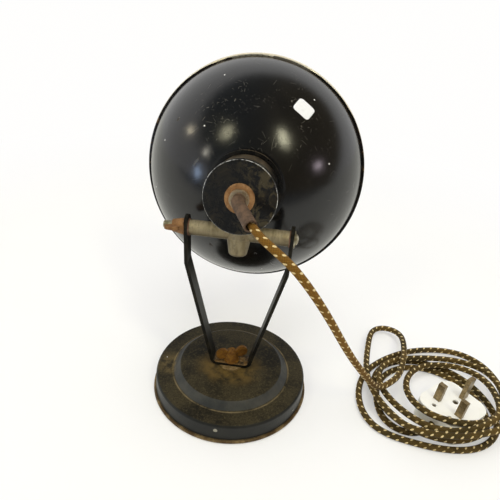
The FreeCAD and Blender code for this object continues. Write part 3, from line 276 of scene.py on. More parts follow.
# The pile seen from above, from the drop to the plug: a stray loop, then turn on turn.
LEAD_PILE = [
    (145, 5.5), (153.5, 16.5), (159, 29.5), (163, 44), (165.5, 55), (167.8, 67), (169.2, 78.5),
    (169.3, 88.5), (166.4, 96.8), (159.6, 102.4), (150.9, 103.6), (142.9, 99.8), (138.1, 92.2),
    (134.8, 79.8), (131.8, 62.5), (129, 45), (127.5, 27), (129, 10), (134, -8), (142, -24),
    (152.5, -38), (166.5, -44), (183, -46.5), (200.5, -46), (217, -40), (232, -33.5), (240.5, -20),
    (243.5, -4), (246.5, 13), (247, 30), (241.5, 46), (229, 55), (212, 59), (194, 58.5),
    (176, 55.5), (159, 50), (145, 40), (137.5, 25), (138, 8), (144.5, -9), (156, -24.5),
    (169.5, -36), (185, -41), (202, -40), (217, -33), (232, -21.5), (239, -5), (241, 12),
    (239.5, 28), (232, 41), (219, 48.5), (204, 50), (188.5, 47), (174, 38), (164, 23), (160.5, 6),
    (163.5, -9.5), (172.5, -22.5), (185, -30.3), (198, -32.5), (211, -30.5), (225, -22.5),
    (239, -9.5), (249.5, 7), (254, 26), (252.5, 47.5), (245.5, 65), (231.5, 77.5), (213.5, 81.5),
    (194, 79.5), (176, 74), (159, 64.5), (143.5, 52.5), (129.5, 37), (122, 19.5), (119.5, 1),
    (122.5, -17), (131, -30.5), (144.5, -38), (162.5, -42), (182.5, -44.5), (202, -43.5),
    (218.5, -38.5), (231.5, -29), (240.5, -16), (244, 0.5), (240, 18.5), (231.5, 34.5), (219.5, 47),
    (204, 55), (186, 59), (167.5, 56.5), (151, 48.5), (139.5, 35.5), (133.5, 19), (134, 1),
    (141, -15.5), (153.5, -28.5), (169, -36.5), (186.5, -39), (204, -36.5), (219, -28.5),
    (229.5, -19.5), (234, -3), (232.5, 14), (225, 29.5), (212.5, 42), (196.5, 50), (178.5, 52),
    (161, 46.5), (147, 35), (138.5, 19.5), (136.3, 5), (136.5, -8), (139.5, -19.5), (146.5, -28),
    (156.5, -32.8)]
# Points of the pile that something holds up: the drop, and the turn that crosses the plug.
HELD_UP = {(145, 5.5): 16, (163.5, -9.5): 9, (172.5, -22.5): 17, (185, -30.3): 23.2,
           (198, -32.5): 24.2, (211, -30.5): 23.6}
LEAD_TAIL = [(167, -32.6, 4), (175, -28.3, 6.5), (180.7, -23.5, 8), (186, -18.8, 8)]

SAMPLES = 12  # of the spline to each of its spans, while the pile is laid
TOUCH = 1.02 * STRAND  # two turns rest on each other within this distance
SAME_TURN = 6 * STRAND  # a turn doesn't rest on what is nearer than this along it
SINK = 2.0  # millimetres in one round
SINK_ROUNDS, LAST_ROUNDS = 360, 40  # in the last ones nothing sinks any more
PUSH = 0.7  # share of what lacks that one push makes up


def spline_weights(count):
    """Weights of the control points on samples of an end-clamped quadratic B-spline."""
    knots = np.concatenate([[0, 0], np.arange(count - 1), [count - 2] * 2]).astype(float)
    at = np.minimum(np.linspace(0, count - 2, (count - 2) * SAMPLES + 1), count - 2 - 1e-9)
    weights = ((at[:, None] >= knots[:-1]) & (at[:, None] < knots[1:])).astype(float)
    for degree in (1, 2):
        n = weights.shape[1] - 1
        left, right = knots[:n], knots[degree + 1:degree + 1 + n]
        spans = knots[degree:degree + n] - left, right - knots[1:n + 1]
        rise, fall = (np.divide(reach, span, out=np.zeros((len(at), n)), where=span > 0)
                      for reach, span in zip((at[:, None] - left, right - at[:, None]), spans))
        weights = rise * weights[:, :-1] + fall * weights[:, 1:]
    return weights


def laid_down(drop, pile, held_up, tail):
    """The lead's control points, in millimetres: each turn sinks until it rests on those under it.

    The plug's end was laid first, so a turn nearer the lamp lies over one that is farther."""
    points = np.array(drop + [(x, y, STRAND / 2) for x, y in pile] + tail)
    first, last = len(drop), len(drop) + len(pile)
    lowest = points[:, 2].copy()
    for index, spot in enumerate(pile):
        lowest[first + index] = held_up.get(spot, STRAND / 2)
    weights = spline_weights(len(points))
    plan = weights @ points[:, :2]
    steps = np.linalg.norm(np.diff(weights @ points, axis=0), axis=1)
    along = np.concatenate([[0], np.cumsum(steps)])
    apart = np.linalg.norm(plan[:, None] - plan[None], axis=2)
    over, under = np.nonzero((apart < TOUCH) & (along[None] - along[:, None] > SAME_TURN))
    in_pile = over >= (first - 0.5) * SAMPLES
    over, under = over[in_pile], under[in_pile]
    needed = np.sqrt(np.maximum(TOUCH ** 2 - apart[over, under] ** 2, 0))
    heights = lowest.copy()
    free = slice(first, last)
    for step in range(SINK_ROUNDS + LAST_ROUNDS):
        eased = heights.copy()
        eased[1:-1] = 0.5 * heights[1:-1] + 0.25 * (heights[2:] + heights[:-2])
        sinking = SINK if step < SINK_ROUNDS else 0.0
        heights[free] = np.maximum(eased[free] - sinking, lowest[free])
        for _ in range(2):
            at = weights @ heights
            lack = np.zeros(len(at))
            np.maximum.at(lack, over, needed - (at[over] - at[under]))
            heights[free] += PUSH * (weights * lack[:, None]).max(0)[free]
    points[:, 2] = heights
    return points


def centreline(name, points):
    """The points, in metres, along one NURBS spline through the route's control points."""
    curve = bpy.data.curves.new(name, "CURVE")
    curve.dimensions = "3D"
    curve.resolution_u = 8
    spline = curve.splines.new("NURBS")
    spline.points.add(len(points) - 1)
    for point, at in zip(spline.points, points):
        point.co = (*(at * MM), 1)
    spline.order_u = 3
    spline.use_endpoint_u = True
    line = new_object(name, curve)
    bpy.context.view_layer.update()
    shown = line.evaluated_get(bpy.context.evaluated_depsgraph_get())
    mesh = bpy.data.meshes.new_from_object(shown)
    path = np.array([vertex.co for vertex in mesh.vertices])
    bpy.data.meshes.remove(mesh)
    bpy.data.objects.remove(line)
    return path


def along_path(path):
    return np.concatenate([[0], np.cumsum(np.linalg.norm(np.diff(path, axis=0), axis=1))])


def carried_frames(path):
    """Two directions across the path at each point, carried along it without twist."""
    tangents = np.gradient(path, axis=0)
    tangents /= np.linalg.norm(tangents, axis=1)[:, None]
    across = np.cross(tangents[0], (0, 0, 1.0))
    across /= np.linalg.norm(across)
    sides = []
    for tangent in tangents:
        across = across - tangent * (across @ tangent)
        across /= np.linalg.norm(across)
        sides.append(across)
    sides = np.array(sides)
    return sides, np.cross(tangents, sides)


PICKS_AROUND = 12  # strands of each hand round the braid
PICK_PITCH = 17.0 * MM  # along the lead for one whole turn of a strand
BRAID_RELIEF = 0.11 * MM
RING = 36  # points round the lead


def braid_relief(turn, along):
    """How far the braid stands out: two hands of strands that pass over and under each other."""
    right = np.cos(2 * math.pi * PICKS_AROUND * (turn - along / PICK_PITCH))
    left = np.cos(2 * math.pi * PICKS_AROUND * (turn + along / PICK_PITCH))
    return BRAID_RELIEF * (0.5 * np.maximum(right, left) - 0.25)


def tube(name, path, start, frames):
    """A mesh tube along the path, with (turns around, metres along) as its UVs."""
    sides, ups = frames
    far = along_path(path) + start
    turn = np.arange(RING) / RING
    reach = LEAD_DIAMETER / 2 + braid_relief(turn[None], far[:, None])
    angle = 2 * math.pi * turn
    cosines, sines = np.cos(angle)[None, :, None], np.sin(angle)[None, :, None]
    rings = path[:, None] + reach[..., None] * (cosines * sides[:, None] + sines * ups[:, None])
    last = len(path) - 1
    cells = [(i, j) for i in range(last) for j in range(RING)]
    corners = ((0, 0), (0, 1), (1, 1), (1, 0))
    faces = [tuple((i + on) * RING + (j + by) % RING for on, by in corners) for i, j in cells]
    caps = [tuple(range(RING))[::-1], tuple(last * RING + j for j in range(RING))]
    mesh = bpy.data.meshes.new(name)
    mesh.from_pydata([tuple(v) for v in rings.reshape(-1, 3)], [], faces + caps)
    spots = [((j + by) / RING, far[i + on]) for i, j in cells for on, by in corners]
    spots += [(0, far[0])] * RING + [(0, far[-1])] * RING
    uv = mesh.uv_layers.new(name="along")
    uv.data.foreach_set("uv", np.array(spots, dtype=np.float32).ravel())
    mesh.polygons.foreach_set("use_smooth", [True] * len(faces) + [False] * len(caps))
    return new_object(name, mesh)


route = laid_down(LEAD_DROP, LEAD_PILE, HELD_UP, LEAD_TAIL)
lead_line = centreline("lead_line", route)
# Even steps, short enough for the braid.
STEP = 1.0 * MM
line_along = along_path(lead_line)
even = np.linspace(0, line_along[-1], int(line_along[-1] / STEP) + 1)
lead_line = np.column_stack([np.interp(even, line_along, lead_line[:, axis]) for axis in range(3)])
lead_frames = carried_frames(lead_line)
lead_along = along_path(lead_line)
JOIN_HEIGHT = 0.150  # the lead is cut into its upper and lower stretch at this height, in metres
join = int(np.nonzero(lead_line[:, 2] < JOIN_HEIGHT)[0][0])
upper_path, lower_path = lead_line[:join + 1], lead_line[join:]
lead_upper = tube("lead_upper", upper_path, 0.0, [f[:join + 1] for f in lead_frames])
lead_lower = tube("lead_lower", lower_path, lead_along[join], [f[join:] for f in lead_frames])

PLUG_PINS = ["plug_pin_line", "plug_pin_neutral", "plug_pin_earth"]
PLUG_SCREWS = ["plug_screw_1", "plug_screw_2", "plug_screw_3"]
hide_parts("cord_drop")
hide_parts("cord_coil", "cord_tail")
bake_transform(lead_upper)
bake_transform(lead_lower)

# ------------------------ the blank price label
LABEL_MIDDLE = (31.6, 46.3)  # degrees round from the top, and degrees from the neck
LABEL_TURN = 3.0  # degrees
LABEL_SIZE = (14.6, 12.8)  # millimetres, as are the next three
LABEL_CORNER = 2.6
LABEL_LAYERS = (0.02, 0.12)  # its underside and its face, over the dome
LABEL_CURL = (0.20, 0.25)  # how steeply each of the two lifts at one side,
CURL_FROM = 0.55  # from this share of the half-width
LABEL_CELLS = 14  # of its mesh, each way


def rounded(u, v, half):
    """A point of the square [-1, 1] drawn into the label's outline."""
    x, y = u * half[0], v * half[1]
    inner = [size - LABEL_CORNER for size in half]
    dx, dy = abs(x) - inner[0], abs(y) - inner[1]
    if dx > 0 and dy > 0:
        shrink = max(dx, dy) / math.hypot(dx, dy)
        x = math.copysign(inner[0] + dx * shrink, x)
        y = math.copysign(inner[1] + dy * shrink, y)
    return x, y


def label_piece():
    """A small square of paper with round corners, curved with the dome it is stuck to."""
    around, back, turn = (math.radians(angle) for angle in (*LABEL_MIDDLE, LABEL_TURN))
    out = (math.sin(back) * (math.sin(around) * Vector((1, 0, 0)) + math.cos(around) * HEAD_UP)
           - math.cos(back) * HEAD_AXIS)
    side = out.cross(HEAD_AXIS).normalized()
    side, up = turned(side, side.cross(out), turn)
    half = [size / 2 for size in LABEL_SIZE]
    work = bmesh.new()
    cells = LABEL_CELLS

    def corner_point(i, j, height, curl):
        x, y = rounded(2 * i / cells - 1, 2 * j / cells - 1, half)
        towards = (out * DOME_RADIUS + side * x + up * y).normalized()
        surface = DOME_RADIUS + DOME_CENTRE_OUT * towards.cross(HEAD_AXIS).length
        lift = curl * max(0, x / half[0] - CURL_FROM) ** 2
        return work.verts.new((DOME_CENTRE + towards * (surface + height + lift)) * MM)

    low, high = ([[corner_point(i, j, height, curl) for j in range(cells + 1)]
                  for i in range(cells + 1)] for height, curl in zip(LABEL_LAYERS, LABEL_CURL))
    for i in range(cells):
        for j in range(cells):
            work.faces.new((high[i][j], high[i + 1][j], high[i + 1][j + 1], high[i][j + 1]))
            work.faces.new((low[i][j], low[i][j + 1], low[i + 1][j + 1], low[i + 1][j]))
    ring = ([(i, 0) for i in range(cells)] + [(cells, j) for j in range(cells)]
            + [(i, cells) for i in range(cells, 0, -1)] + [(0, j) for j in range(cells, 0, -1)])
    for (a, b), (c, d) in zip(ring, ring[1:] + ring[:1]):
        work.faces.new((low[a][b], low[c][d], high[c][d], high[a][b]))
    bmesh.ops.recalc_face_normals(work, faces=work.faces)
    mesh = new_mesh("price_label", work)
    mesh.polygons.foreach_set("use_smooth", [True] * len(mesh.polygons))
    return new_object("price_label", mesh)


label = label_piece()
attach(label, "head")

# ------------------------ materials: the reflector
CREAM = (0.76, 0.70, 0.56)
GLOSS_BLACK = (0.0035, 0.0035, 0.004)
ROLL_START = RIM_AHEAD - ROLL / 2  # where the rolled edge begins, along the axis
HALF_HEIGHT = 95 * MM  # from the axis to the top of the rolled edge


def reflector_look():
    """Black gloss enamel outside, cream inside and over the rolled edge."""
    look = Look("reflector_enamel")
    along, across = round_head_axis(look)
    outward = look.vector("NORMALIZE", look.offset(DOME_CENTRE * MM))
    faces_out = look.step(look.dot(outward, look.normal), -0.05, 0.05)
    # The rolled edge: cream where it faces forward or out, black where it faces back.
    on_roll = look.step(along, ROLL_START - 0.2, ROLL_START + 0.4, MM)
    backward = look.dot(look.normal, -HEAD_AXIS)
    height = look.dot(look.offset(HEAD_ORIGIN * MM), HEAD_UP)
    paint_edge = look.plus(look.scaled(look.noise(60, 2), -0.25, 0.25),
                           look.scaled(height, -0.7, 1.05, -HALF_HEIGHT, HALF_HEIGHT))
    roll_cream = look.step(look.minus(paint_edge, backward), -0.04, 0.04)
    haze = look.noise(38, 5, 0.6)
    look.colour = GLOSS_BLACK
    look.lay(look.step(haze, 0.45, 0.75), 0.3, (0.011, 0.009, 0.006))
    # Brown wear along the seam beside the roll.
    seam = look.all_of(look.band(along, ROLL_START - 2.6, ROLL_START - 0.9, 0.35, MM),
                       look.patches(0.40, 0.55, 55, 4, 0.7))
    look.lay(seam, 0.8, (0.15, 0.098, 0.045))
    # Fine scratches and dull scuffs, thickest on the upper back of the dome.
    sideways = look.math("ABSOLUTE", look.xyz(look.place)[0])
    busy = look.all_of(look.step(height, 18, 42, MM), look.step(sideways, 68, 34, MM),
                       look.step(along, 62, 40, MM))
    patchy = look.patches(0.44, 0.6, 46, 3, 0.6)
    fine = look.any_of(look.strokes(4.2, 4.6, 0.16, 0.5), look.strokes(3.1, 2.6, 0.17, 0.5, 0.31))
    coarse = look.any_of(look.strokes(17, 13, 0.15, 0.4, 0.53),
                         look.strokes(11, 8, 0.15, 0.35, 0.77))
    scuffs = look.all_of(look.patches(0.58, 0.74, 520, 3, 0.8), look.patches(0.46, 0.62, 60, 3))
    scratches = look.any_of(
        look.all_of(fine, patchy, look.scaled(busy, 0.12, 1.0)),
        look.all_of(coarse, look.scaled(busy, 0.35, 0.7)),
        look.all_of(scuffs, look.scaled(busy, 0.08, 0.6)))
    look.lay(scratches, 0.62, (0.16, 0.145, 0.115))
    specks = look.specks(115.0, (0.87, 0.875))
    look.colour = look.mix(specks, look.colour, (0.75, 0.74, 0.7))
    # Dull chips.
    shifted = look.vector("ADD", look.place, (0.31, 0.12, 0.05))
    ragged = look.plus(look.cells(62.0, shifted), look.scaled(look.noise(700, 3), -0.12, 0.12))
    chosen = look.step(look.xyz(look.cells(62.0, shifted, "Color"))[1], 0.84, 0.85)
    chips = look.all_of(look.step(ragged, 0.11, 0.08), chosen)
    look.lay(chips, 0.8, (0.035, 0.026, 0.018))
    # Inside: cream, darkened and freckled round the lampholder.
    black = look.colour
    look.colour = look.tones(look.noise(22, 5, 0.6), 0.4, 0.72, CREAM, (0.62, 0.54, 0.39))
    look.lay(look.step(across, 50, 28, MM), 0.5, (0.23, 0.16, 0.09))
    freckles = look.all_of(look.patches(0.68, 0.74, 900, 2, 0.6), look.patches(0.5, 0.62, 60, 3))
    look.lay(freckles, 0.7, (0.12, 0.06, 0.03))
    cream = look.colour
    rubbed = look.tones(
        look.noise(130, 4, 0.7), 0.56, 0.66, (0.006, 0.005, 0.005), (0.16, 0.10, 0.045))
    roll = look.mix(roll_cream, rubbed, cream)
    look.colour = look.mix(on_roll, look.mix(faces_out, cream, black), roll)
    # Painted shade: the black of the roll and of the seam is made a dull dark metal, so no pale
    # floor reflects in it and it stays as dark as the shaded groove beside the roll.
    by_roll = look.band(along, ROLL_START - 2.2, ROLL_START + 0.2, 0.4, MM)
    groove_shade = look.any_of(look.all_of(on_roll, look.minus(1.0, roll_cream)),
                        look.all_of(by_roll, faces_out))
    shine = look.plus(look.scaled(haze, 0.13, 0.27), look.times(scratches, 0.25))
    shine = look.any_of(shine, look.times(chips, 0.6), look.times(specks, 0.7))
    look.put(Metallic=look.times(groove_shade, 0.85),
             Roughness=look.mix(faces_out, look.scaled(look.noise(80, 3), 0.26, 0.4), shine))
    # Shallow unevenness of the spun sheet, and the chips' depth.
    relief = look.minus(look.times(look.noise(24, 2, 0.4), 0.55), look.times(chips, 0.35))
    relief = look.plus(relief, look.times(look.noise(1500, 2, 0.5), 0.012))
    look.bump(relief, 0.5, 0.6)
    look.paint("shade")


reflector_look()


def neck_look():
    """Dull black enamel with a worn rim that carries a painted highlight, dusty and stained on the
    flat end.
    """
    look = Look("neck_enamel_worn", 0.32)
    along, across = round_head_axis(look)
    stains = look.noise(95, 6, 0.65, distortion=0.6)
    look.colour = look.tones(stains, 0.5, 0.75, (0.0045,) * 3, (0.022, 0.017, 0.010))
    stained_side = look.step(look.xyz(look.place)[0], -9, 13, MM)
    grime = look.all_of(look.step(along, -16.6, -17.2, MM),
                        look.patches(0.46, 0.62, 150, 5, 0.7, distortion=0.8),
                        look.scaled(stained_side, 0.15, 1.0))
    look.lay(grime, 0.7, (0.066, 0.052, 0.026))
    # Brown dust lies on the upper side of the neck.
    dust = look.all_of(look.facing_up(0.35, 0.95), look.step(along, -13.0, -11, MM),
                       look.patches(0.3, 0.62, 120, 4, 0.6))
    look.lay(dust, 0.7, (0.115, 0.085, 0.05))
    # A thin broken pale line round the corner of the cap: the enamel worn away, with a painted
    # highlight along it.
    backward = look.dot(look.normal, -HEAD_AXIS)
    rim = look.all_of(look.band(backward, 0.36, 0.72, 0.06), look.step(along, -16.0, -16.6, MM),
                      look.step(across, 24.4, 24.8, MM))
    worn = look.all_of(rim, look.patches(0.42, 0.58, 130, 5, 0.8))
    collar = look.all_of(look.edges(0.5, 0.05, 0.3), look.patches(0.6, 0.66, 320, 3, 0.7))
    bright = look.any_of(worn, look.times(collar, 0.5))
    look.colour = look.mix(bright, look.colour, (0.70, 0.69, 0.65))
    look.put(Metallic=look.times(bright, 0.4),
             Roughness=look.plus(look.scaled(stains, 0.14, 0.4), look.times(dust, 0.3)))
    look.bump(look.plus(stains, look.times(bright, -0.4)), 0.12, 0.5, soft_edge=0.5)
    look.paint("neck_tube", "end_cap", "neck_collar")


neck_look()


def yoke_look():
    """Satin black paint on flat bar, brown on the faces and rubbed through on the corners."""
    look = Look("yoke_paint_worn", 0.1)
    mottle = look.noise(110, 5, 0.65)
    look.colour = look.tones(mottle, 0.4, 0.7, (0.006, 0.0055, 0.004), (0.019, 0.016, 0.009))
    rub = look.all_of(look.edges(0.5, 0.04, 0.2), look.patches(0.52, 0.62, 260, 4, 0.7))
    look.lay(rub, 0.55, (0.17, 0.135, 0.09))
    # Rust has run over the foot from the nut and its washer.
    foot = look.step(look.xyz(look.place)[2], 36, 31, MM)
    rust = look.all_of(foot, look.facing_up(0.4, 0.85), look.patches(0.36, 0.56, 140, 5, 0.7))
    rust_tone = look.tones(
        look.noise(330, 4, 0.7), 0.4, 0.62, (0.15, 0.082, 0.025), (0.27, 0.17, 0.075))
    look.lay(rust, 0.85, rust_tone)
    look.put(Roughness=look.plus(look.scaled(mottle, 0.34, 0.56), look.times(rust, 0.3)))
    grain = look.times(look.noise(900, 3, 0.6), 0.3)
    look.bump(look.plus(mottle, grain), 0.12, 0.5, soft_edge=0.4)
    look.paint("yoke_strap")


yoke_look()


def base_look():
    """Worn black enamel: dusty flats, blue-grey walls, a brown and brassy roll at the foot."""
    look = Look("base_enamel_worn", 0.2)
    x, y, height = look.xyz(look.place)
    across = look.math("SQRT", look.plus(look.times(x, x), look.times(y, y)))
    upward = look.facing_up(0.8, 0.95)
    under_step = look.step(height, 22, 20, MM)
    blotch = look.noise(34, 6, 0.62)
    grain = look.noise(420, 5, 0.75)
    look.colour = look.tones(blotch, 0.35, 0.7, (0.027, 0.029, 0.028), (0.060, 0.058, 0.048))
    look.lay(look.step(grain, 0.55, 0.75), 0.5, (0.052, 0.043, 0.028))
    wall = look.colour
    look.colour = look.tones(blotch, 0.36, 0.62, (0.0085, 0.0072, 0.004), (0.038, 0.030, 0.0135))
    look.lay(look.step(grain, 0.47, 0.66), 0.7, (0.070, 0.055, 0.025))
    look.lay(look.patches(0.52, 0.64, 780, 3, 0.6), 0.65, (0.006, 0.005, 0.003))
    # The outer wall is darker than the wall of the step.
    darker = look.mix(0.78, wall, (0.004, 0.004, 0.003))
    wall = look.mix(look.step(across, 57, 60, MM), wall, darker)
    look.colour = look.mix(upward, wall, look.colour)
    # Tan dust in the corner where the step stands on the ledge.
    corner = look.all_of(look.band(across, 51.9, 53.0, 0.45, MM), under_step,
                         look.patches(0.30, 0.62, 70, 5, 0.7))
    look.lay(corner, 0.8, (0.2, 0.15, 0.075))
    # More of it has gathered on the left of the ledge.
    drift = look.all_of(look.step(look.away_from(-54, -6, 18), 19, 3, MM),
                        look.patches(0.36, 0.6, 120, 5, 0.7), under_step)
    look.lay(drift, 0.6, (0.17, 0.12, 0.045))
    # The corners of ledge and step are rubbed lighter.
    rub = look.all_of(look.edges(1.2, 0.02, 0.25), look.patches(0.42, 0.62, 160, 5, 0.7))
    look.lay(rub, 0.35, (0.12, 0.10, 0.065))
    # Rust and brown oil round the stud, spreading towards the back of the lamp.
    back = look.plus(y, 6 * MM)
    oval = look.math("SQRT", look.plus(look.times(x, look.times(x, 0.55)), look.times(back, back)))
    stain = look.all_of(look.step(oval, 27, 12, MM), look.patches(0.3, 0.62, 90, 5, 0.65), upward)
    look.lay(stain, 0.85, (0.135, 0.085, 0.022))
    # The roll at the foot.
    roll = look.all_of(look.step(height, 3.9, 3.4, MM), look.step(across, 67.0, 67.4, MM))
    brass = look.tones(
        look.noise(75, 5, 0.65), 0.4, 0.64, (0.075, 0.045, 0.018), (0.22, 0.155, 0.07))
    look.colour = look.mix(roll, look.colour, brass)
    # White specks and one chip in the wall.
    look.colour = look.mix(look.specks(150.0, (0.92, 0.922)), look.colour, (0.72, 0.71, 0.66))
    ragged = look.scaled(look.noise(600, 2), -0.6 * MM, 0.6 * MM)
    chip = look.step(look.plus(look.away_from(-2.0, -67.6, 13.5), ragged), 1.9, 1.5, MM)
    shine = look.mix(upward, look.scaled(grain, 0.32, 0.5), look.scaled(grain, 0.55, 0.8))
    look.colour = look.mix(chip, look.colour, (0.3, 0.28, 0.22))
    look.put(Metallic=look.times(roll, 0.35),
             Roughness=look.mix(roll, shine, look.scaled(grain, 0.3, 0.5)))
    relief = look.plus(look.times(grain, 0.7), look.times(blotch, 0.5))
    look.bump(look.minus(relief, look.times(chip, 0.8)), 0.14, 0.8, soft_edge=0.8)
    look.paint("base_cover")


base_look()


# ------------------------ materials: the small parts
def brighter(colour):
    return tuple(min(1, 1.5 * part) for part in colour)


def metal_look(name, clean, dull, *painted, roughness=(0.25, 0.5), scale=220,
               grime=(0.05, 0.04, 0.028), grime_share=0.5, metallic=0.9, scratch=(1, 1, 1),
               relief=0.06, edge=0.3, underside=0.0):
    """Metal that has dulled: tone varies, dirt sits in it, corners are rubbed bright."""
    look = Look(name)
    brushed = look.node("Mapping", {"Vector": look.place, "Scale": scratch})
    tone = look.noise(scale, 5, 0.65, brushed)
    fine = look.noise(scale * 5, 3, 0.6, brushed)
    look.colour = look.tones(tone, 0.35, 0.68, clean, dull)
    dirt = look.patches(0.52, 0.68, scale * 0.7, 5, 0.7)
    look.lay(dirt, grime_share, grime)
    # Painted shade: faces that look down are darkened with the grime colour, as much as `underside`
    # asks.
    look.lay(look.facing_up(0.8, -0.4), underside, grime)
    rub = look.all_of(look.edges(edge, 0.05, 0.3), look.patches(0.42, 0.55, scale * 1.5, 3))
    shine = look.plus(look.times(tone, 0.5), look.times(fine, 0.5))
    look.lay(rub, 0.6, brighter(clean))
    look.put(Metallic=look.times(look.minus(1.0, look.times(dirt, 0.6)), metallic),
             Roughness=look.scaled(shine, *roughness))
    look.bump(look.plus(tone, look.times(fine, 0.4)), relief, 0.6, soft_edge=edge)
    look.paint(*painted)


def rust_look(name, light, deep, *painted):
    """Rusted steel: orange-brown, pitted, with darker scale and a little bare metal left."""
    look = Look(name, 0.25)
    patches = look.noise(190, 6, 0.7, distortion=0.4)
    grain = look.noise(1300, 4, 0.7)
    look.colour = look.tones(patches, 0.36, 0.66, deep, light)
    look.lay(look.step(grain, 0.5, 0.72), 0.5, brighter(light))
    look.lay(look.patches(0.58, 0.7, 520, 4, 0.7), 0.6, (0.055, 0.03, 0.016))
    metal = look.all_of(look.edges(0.4, 0.04, 0.25), look.patches(0.5, 0.6, 380, 4))
    look.lay(metal, 0.35, (0.5, 0.4, 0.3))
    look.put(Metallic=look.times(metal, 0.5), Roughness=look.scaled(grain, 0.5, 0.85))
    look.bump(look.plus(patches, look.times(grain, 0.6)), 0.16, 0.9, soft_edge=0.35)
    look.paint(*painted)


rust_look("rusted_nut", (0.22, 0.098, 0.010), (0.10, 0.038, 0.004),
    "base_wing_nut", "base_stud", "strap_washer")
rust_look("rusted_pivot_nut", (0.26, 0.135, 0.052), (0.13, 0.058, 0.02),
    "pivot_wing_nut", "pivot_nut_washer")
rust_look("rusted_washer", (0.36, 0.2, 0.085), (0.2, 0.095, 0.034), "flange_washer")
metal_look("stud_washer_steel", (0.36, 0.25, 0.115), (0.2, 0.13, 0.05), "stud_washer",
    metallic=0.4, grime=(0.10, 0.06, 0.02))
metal_look("nickel_casting", (0.56, 0.47, 0.29), (0.36, 0.29, 0.165), "tee_bracket",
    roughness=(0.4, 0.62), scratch=(1, 0.3, 0.22), scale=330, grime=(0.075, 0.055, 0.028),
    metallic=0.7, relief=0.12, edge=0.4, underside=0.75)
metal_look("plated_steel", (0.44, 0.40, 0.29), (0.27, 0.235, 0.145), "pivot_bolt",
    "bolt_head_washer", "bracket_screw_front", "bracket_screw_back", scale=380)
metal_look("gland_brass", (0.56, 0.47, 0.33), (0.42, 0.32, 0.2), "gland_nut", "entry_nipple",
    "lock_nut", scale=420, grime=(0.22, 0.11, 0.045), grime_share=0.6)
metal_look("cap_brass", (0.62, 0.48, 0.22), (0.46, 0.33, 0.14), "bulb_cap", "contact_right",
    "contact_left", scale=420, grime=(0.13, 0.08, 0.03))
metal_look("pin_brass", (0.33, 0.25, 0.13), (0.20, 0.145, 0.07), *PLUG_PINS, scale=420,
    roughness=(0.24, 0.42), grime=(0.05, 0.035, 0.018), grime_share=0.45)
metal_look("plug_screw_steel", (0.2, 0.16, 0.1), (0.11, 0.085, 0.05), *PLUG_SCREWS,
    scale=600, grime=(0.02, 0.015, 0.01))
metal_look("plate_steel_dull", (0.4, 0.39, 0.36), (0.27, 0.255, 0.23), "base_plate",
    "plate_screw_1", "plate_screw_2", "plate_screw_3", scale=120)
metal_look("weight_iron", (0.12, 0.112, 0.105), (0.07, 0.062, 0.055), "base_weight",
    roughness=(0.6, 0.85), scale=160, metallic=0.5, relief=0.3)


def matt_look(name, light, deep, *painted, scale=300, roughness=(0.6, 0.85), relief=0.1,
              specks=None, speck_share=0.0, sheen=0.0, gloss=0.5):
    """A plain moulded or fibrous stuff, mottled and slightly rough."""
    look = Look(name, gloss, Sheen_Weight=sheen)
    mottle = look.noise(scale, 5, 0.65)
    grain = look.noise(scale * 5, 3, 0.6)
    look.colour = look.tones(mottle, 0.36, 0.66, deep, light)
    if specks:
        look.lay(look.step(grain, 0.55, 0.7), speck_share, specks)
    look.put(Roughness=look.scaled(grain, *roughness))
    look.bump(look.plus(mottle, look.times(grain, 0.5)), relief, 0.7, soft_edge=0.4)
    look.paint(*painted)


matt_look("perished_rubber", (0.135, 0.080, 0.046), (0.060, 0.036, 0.021), "cord_sleeve",
    scale=170, specks=(0.21, 0.13, 0.075), speck_share=0.4, relief=0.16,
    roughness=(0.5, 0.75), gloss=0.3)
matt_look("vulcanised_fibre", (0.2, 0.10, 0.06), (0.12, 0.055, 0.03),
    "fibre_washer_right", "fibre_washer_left")
matt_look("green_baize", (0.05, 0.13, 0.075), (0.03, 0.085, 0.045), "base_felt",
    scale=900, relief=0.25, roughness=(0.85, 1.0), sheen=0.3)
matt_look("brown_bakelite", (0.075, 0.032, 0.018), (0.035, 0.015, 0.01), "lampholder_body",
    "lampholder_ring", scale=120, roughness=(0.2, 0.34), relief=0.03)
matt_look("fuse_body", (0.72, 0.69, 0.6), (0.6, 0.55, 0.45), "plug_fuse", roughness=(0.3, 0.5))


def pearl_glass_look():
    """Pearl glass: white silica coat inside a thin clear skin, faintly streaked."""
    look = Look("pearl_glass", Coat_Weight=0.6, Coat_Roughness=0.05)
    veil = look.noise(45, 4, 0.5)
    look.colour = look.mix(veil, (0.86, 0.85, 0.8), (0.74, 0.72, 0.66))
    look.put(Roughness=look.scaled(veil, 0.3, 0.45))
    look.bump(look.noise(60, 2), 0.05, 0.4)
    look.paint("bulb_glass")


pearl_glass_look()


def plug_look():
    """White moulding, slightly yellowed and grubby, with painted shade darkening its corners."""
    look = Look("plug_moulding", Coat_Weight=0.15, Coat_Roughness=0.2)
    look.colour = look.tones(
        look.noise(70, 4, 0.55), 0.4, 0.7, (0.94, 0.925, 0.865), (0.88, 0.86, 0.775))
    marks = look.all_of(look.patches(0.6, 0.7, 300, 5, 0.75), look.patches(0.5, 0.65, 60, 3))
    look.lay(marks, 0.5, (0.42, 0.37, 0.3))
    openness = look.node("AmbientOcclusion", {"Distance": 2.5 * MM}, out=1, samples=6)
    # Painted shade: the corners, found by ambient occlusion, are darkened.
    look.lay(look.step(openness, 0.75, 0.3), 0.6, (0.32, 0.27, 0.2))
    look.put(Roughness=look.scaled(look.noise(500, 3), 0.25, 0.42))
    look.bump(look.noise(1200, 2), 0.02, 0.5, soft_edge=0.6)
    look.paint("plug_cover", "plug_base")


plug_look()


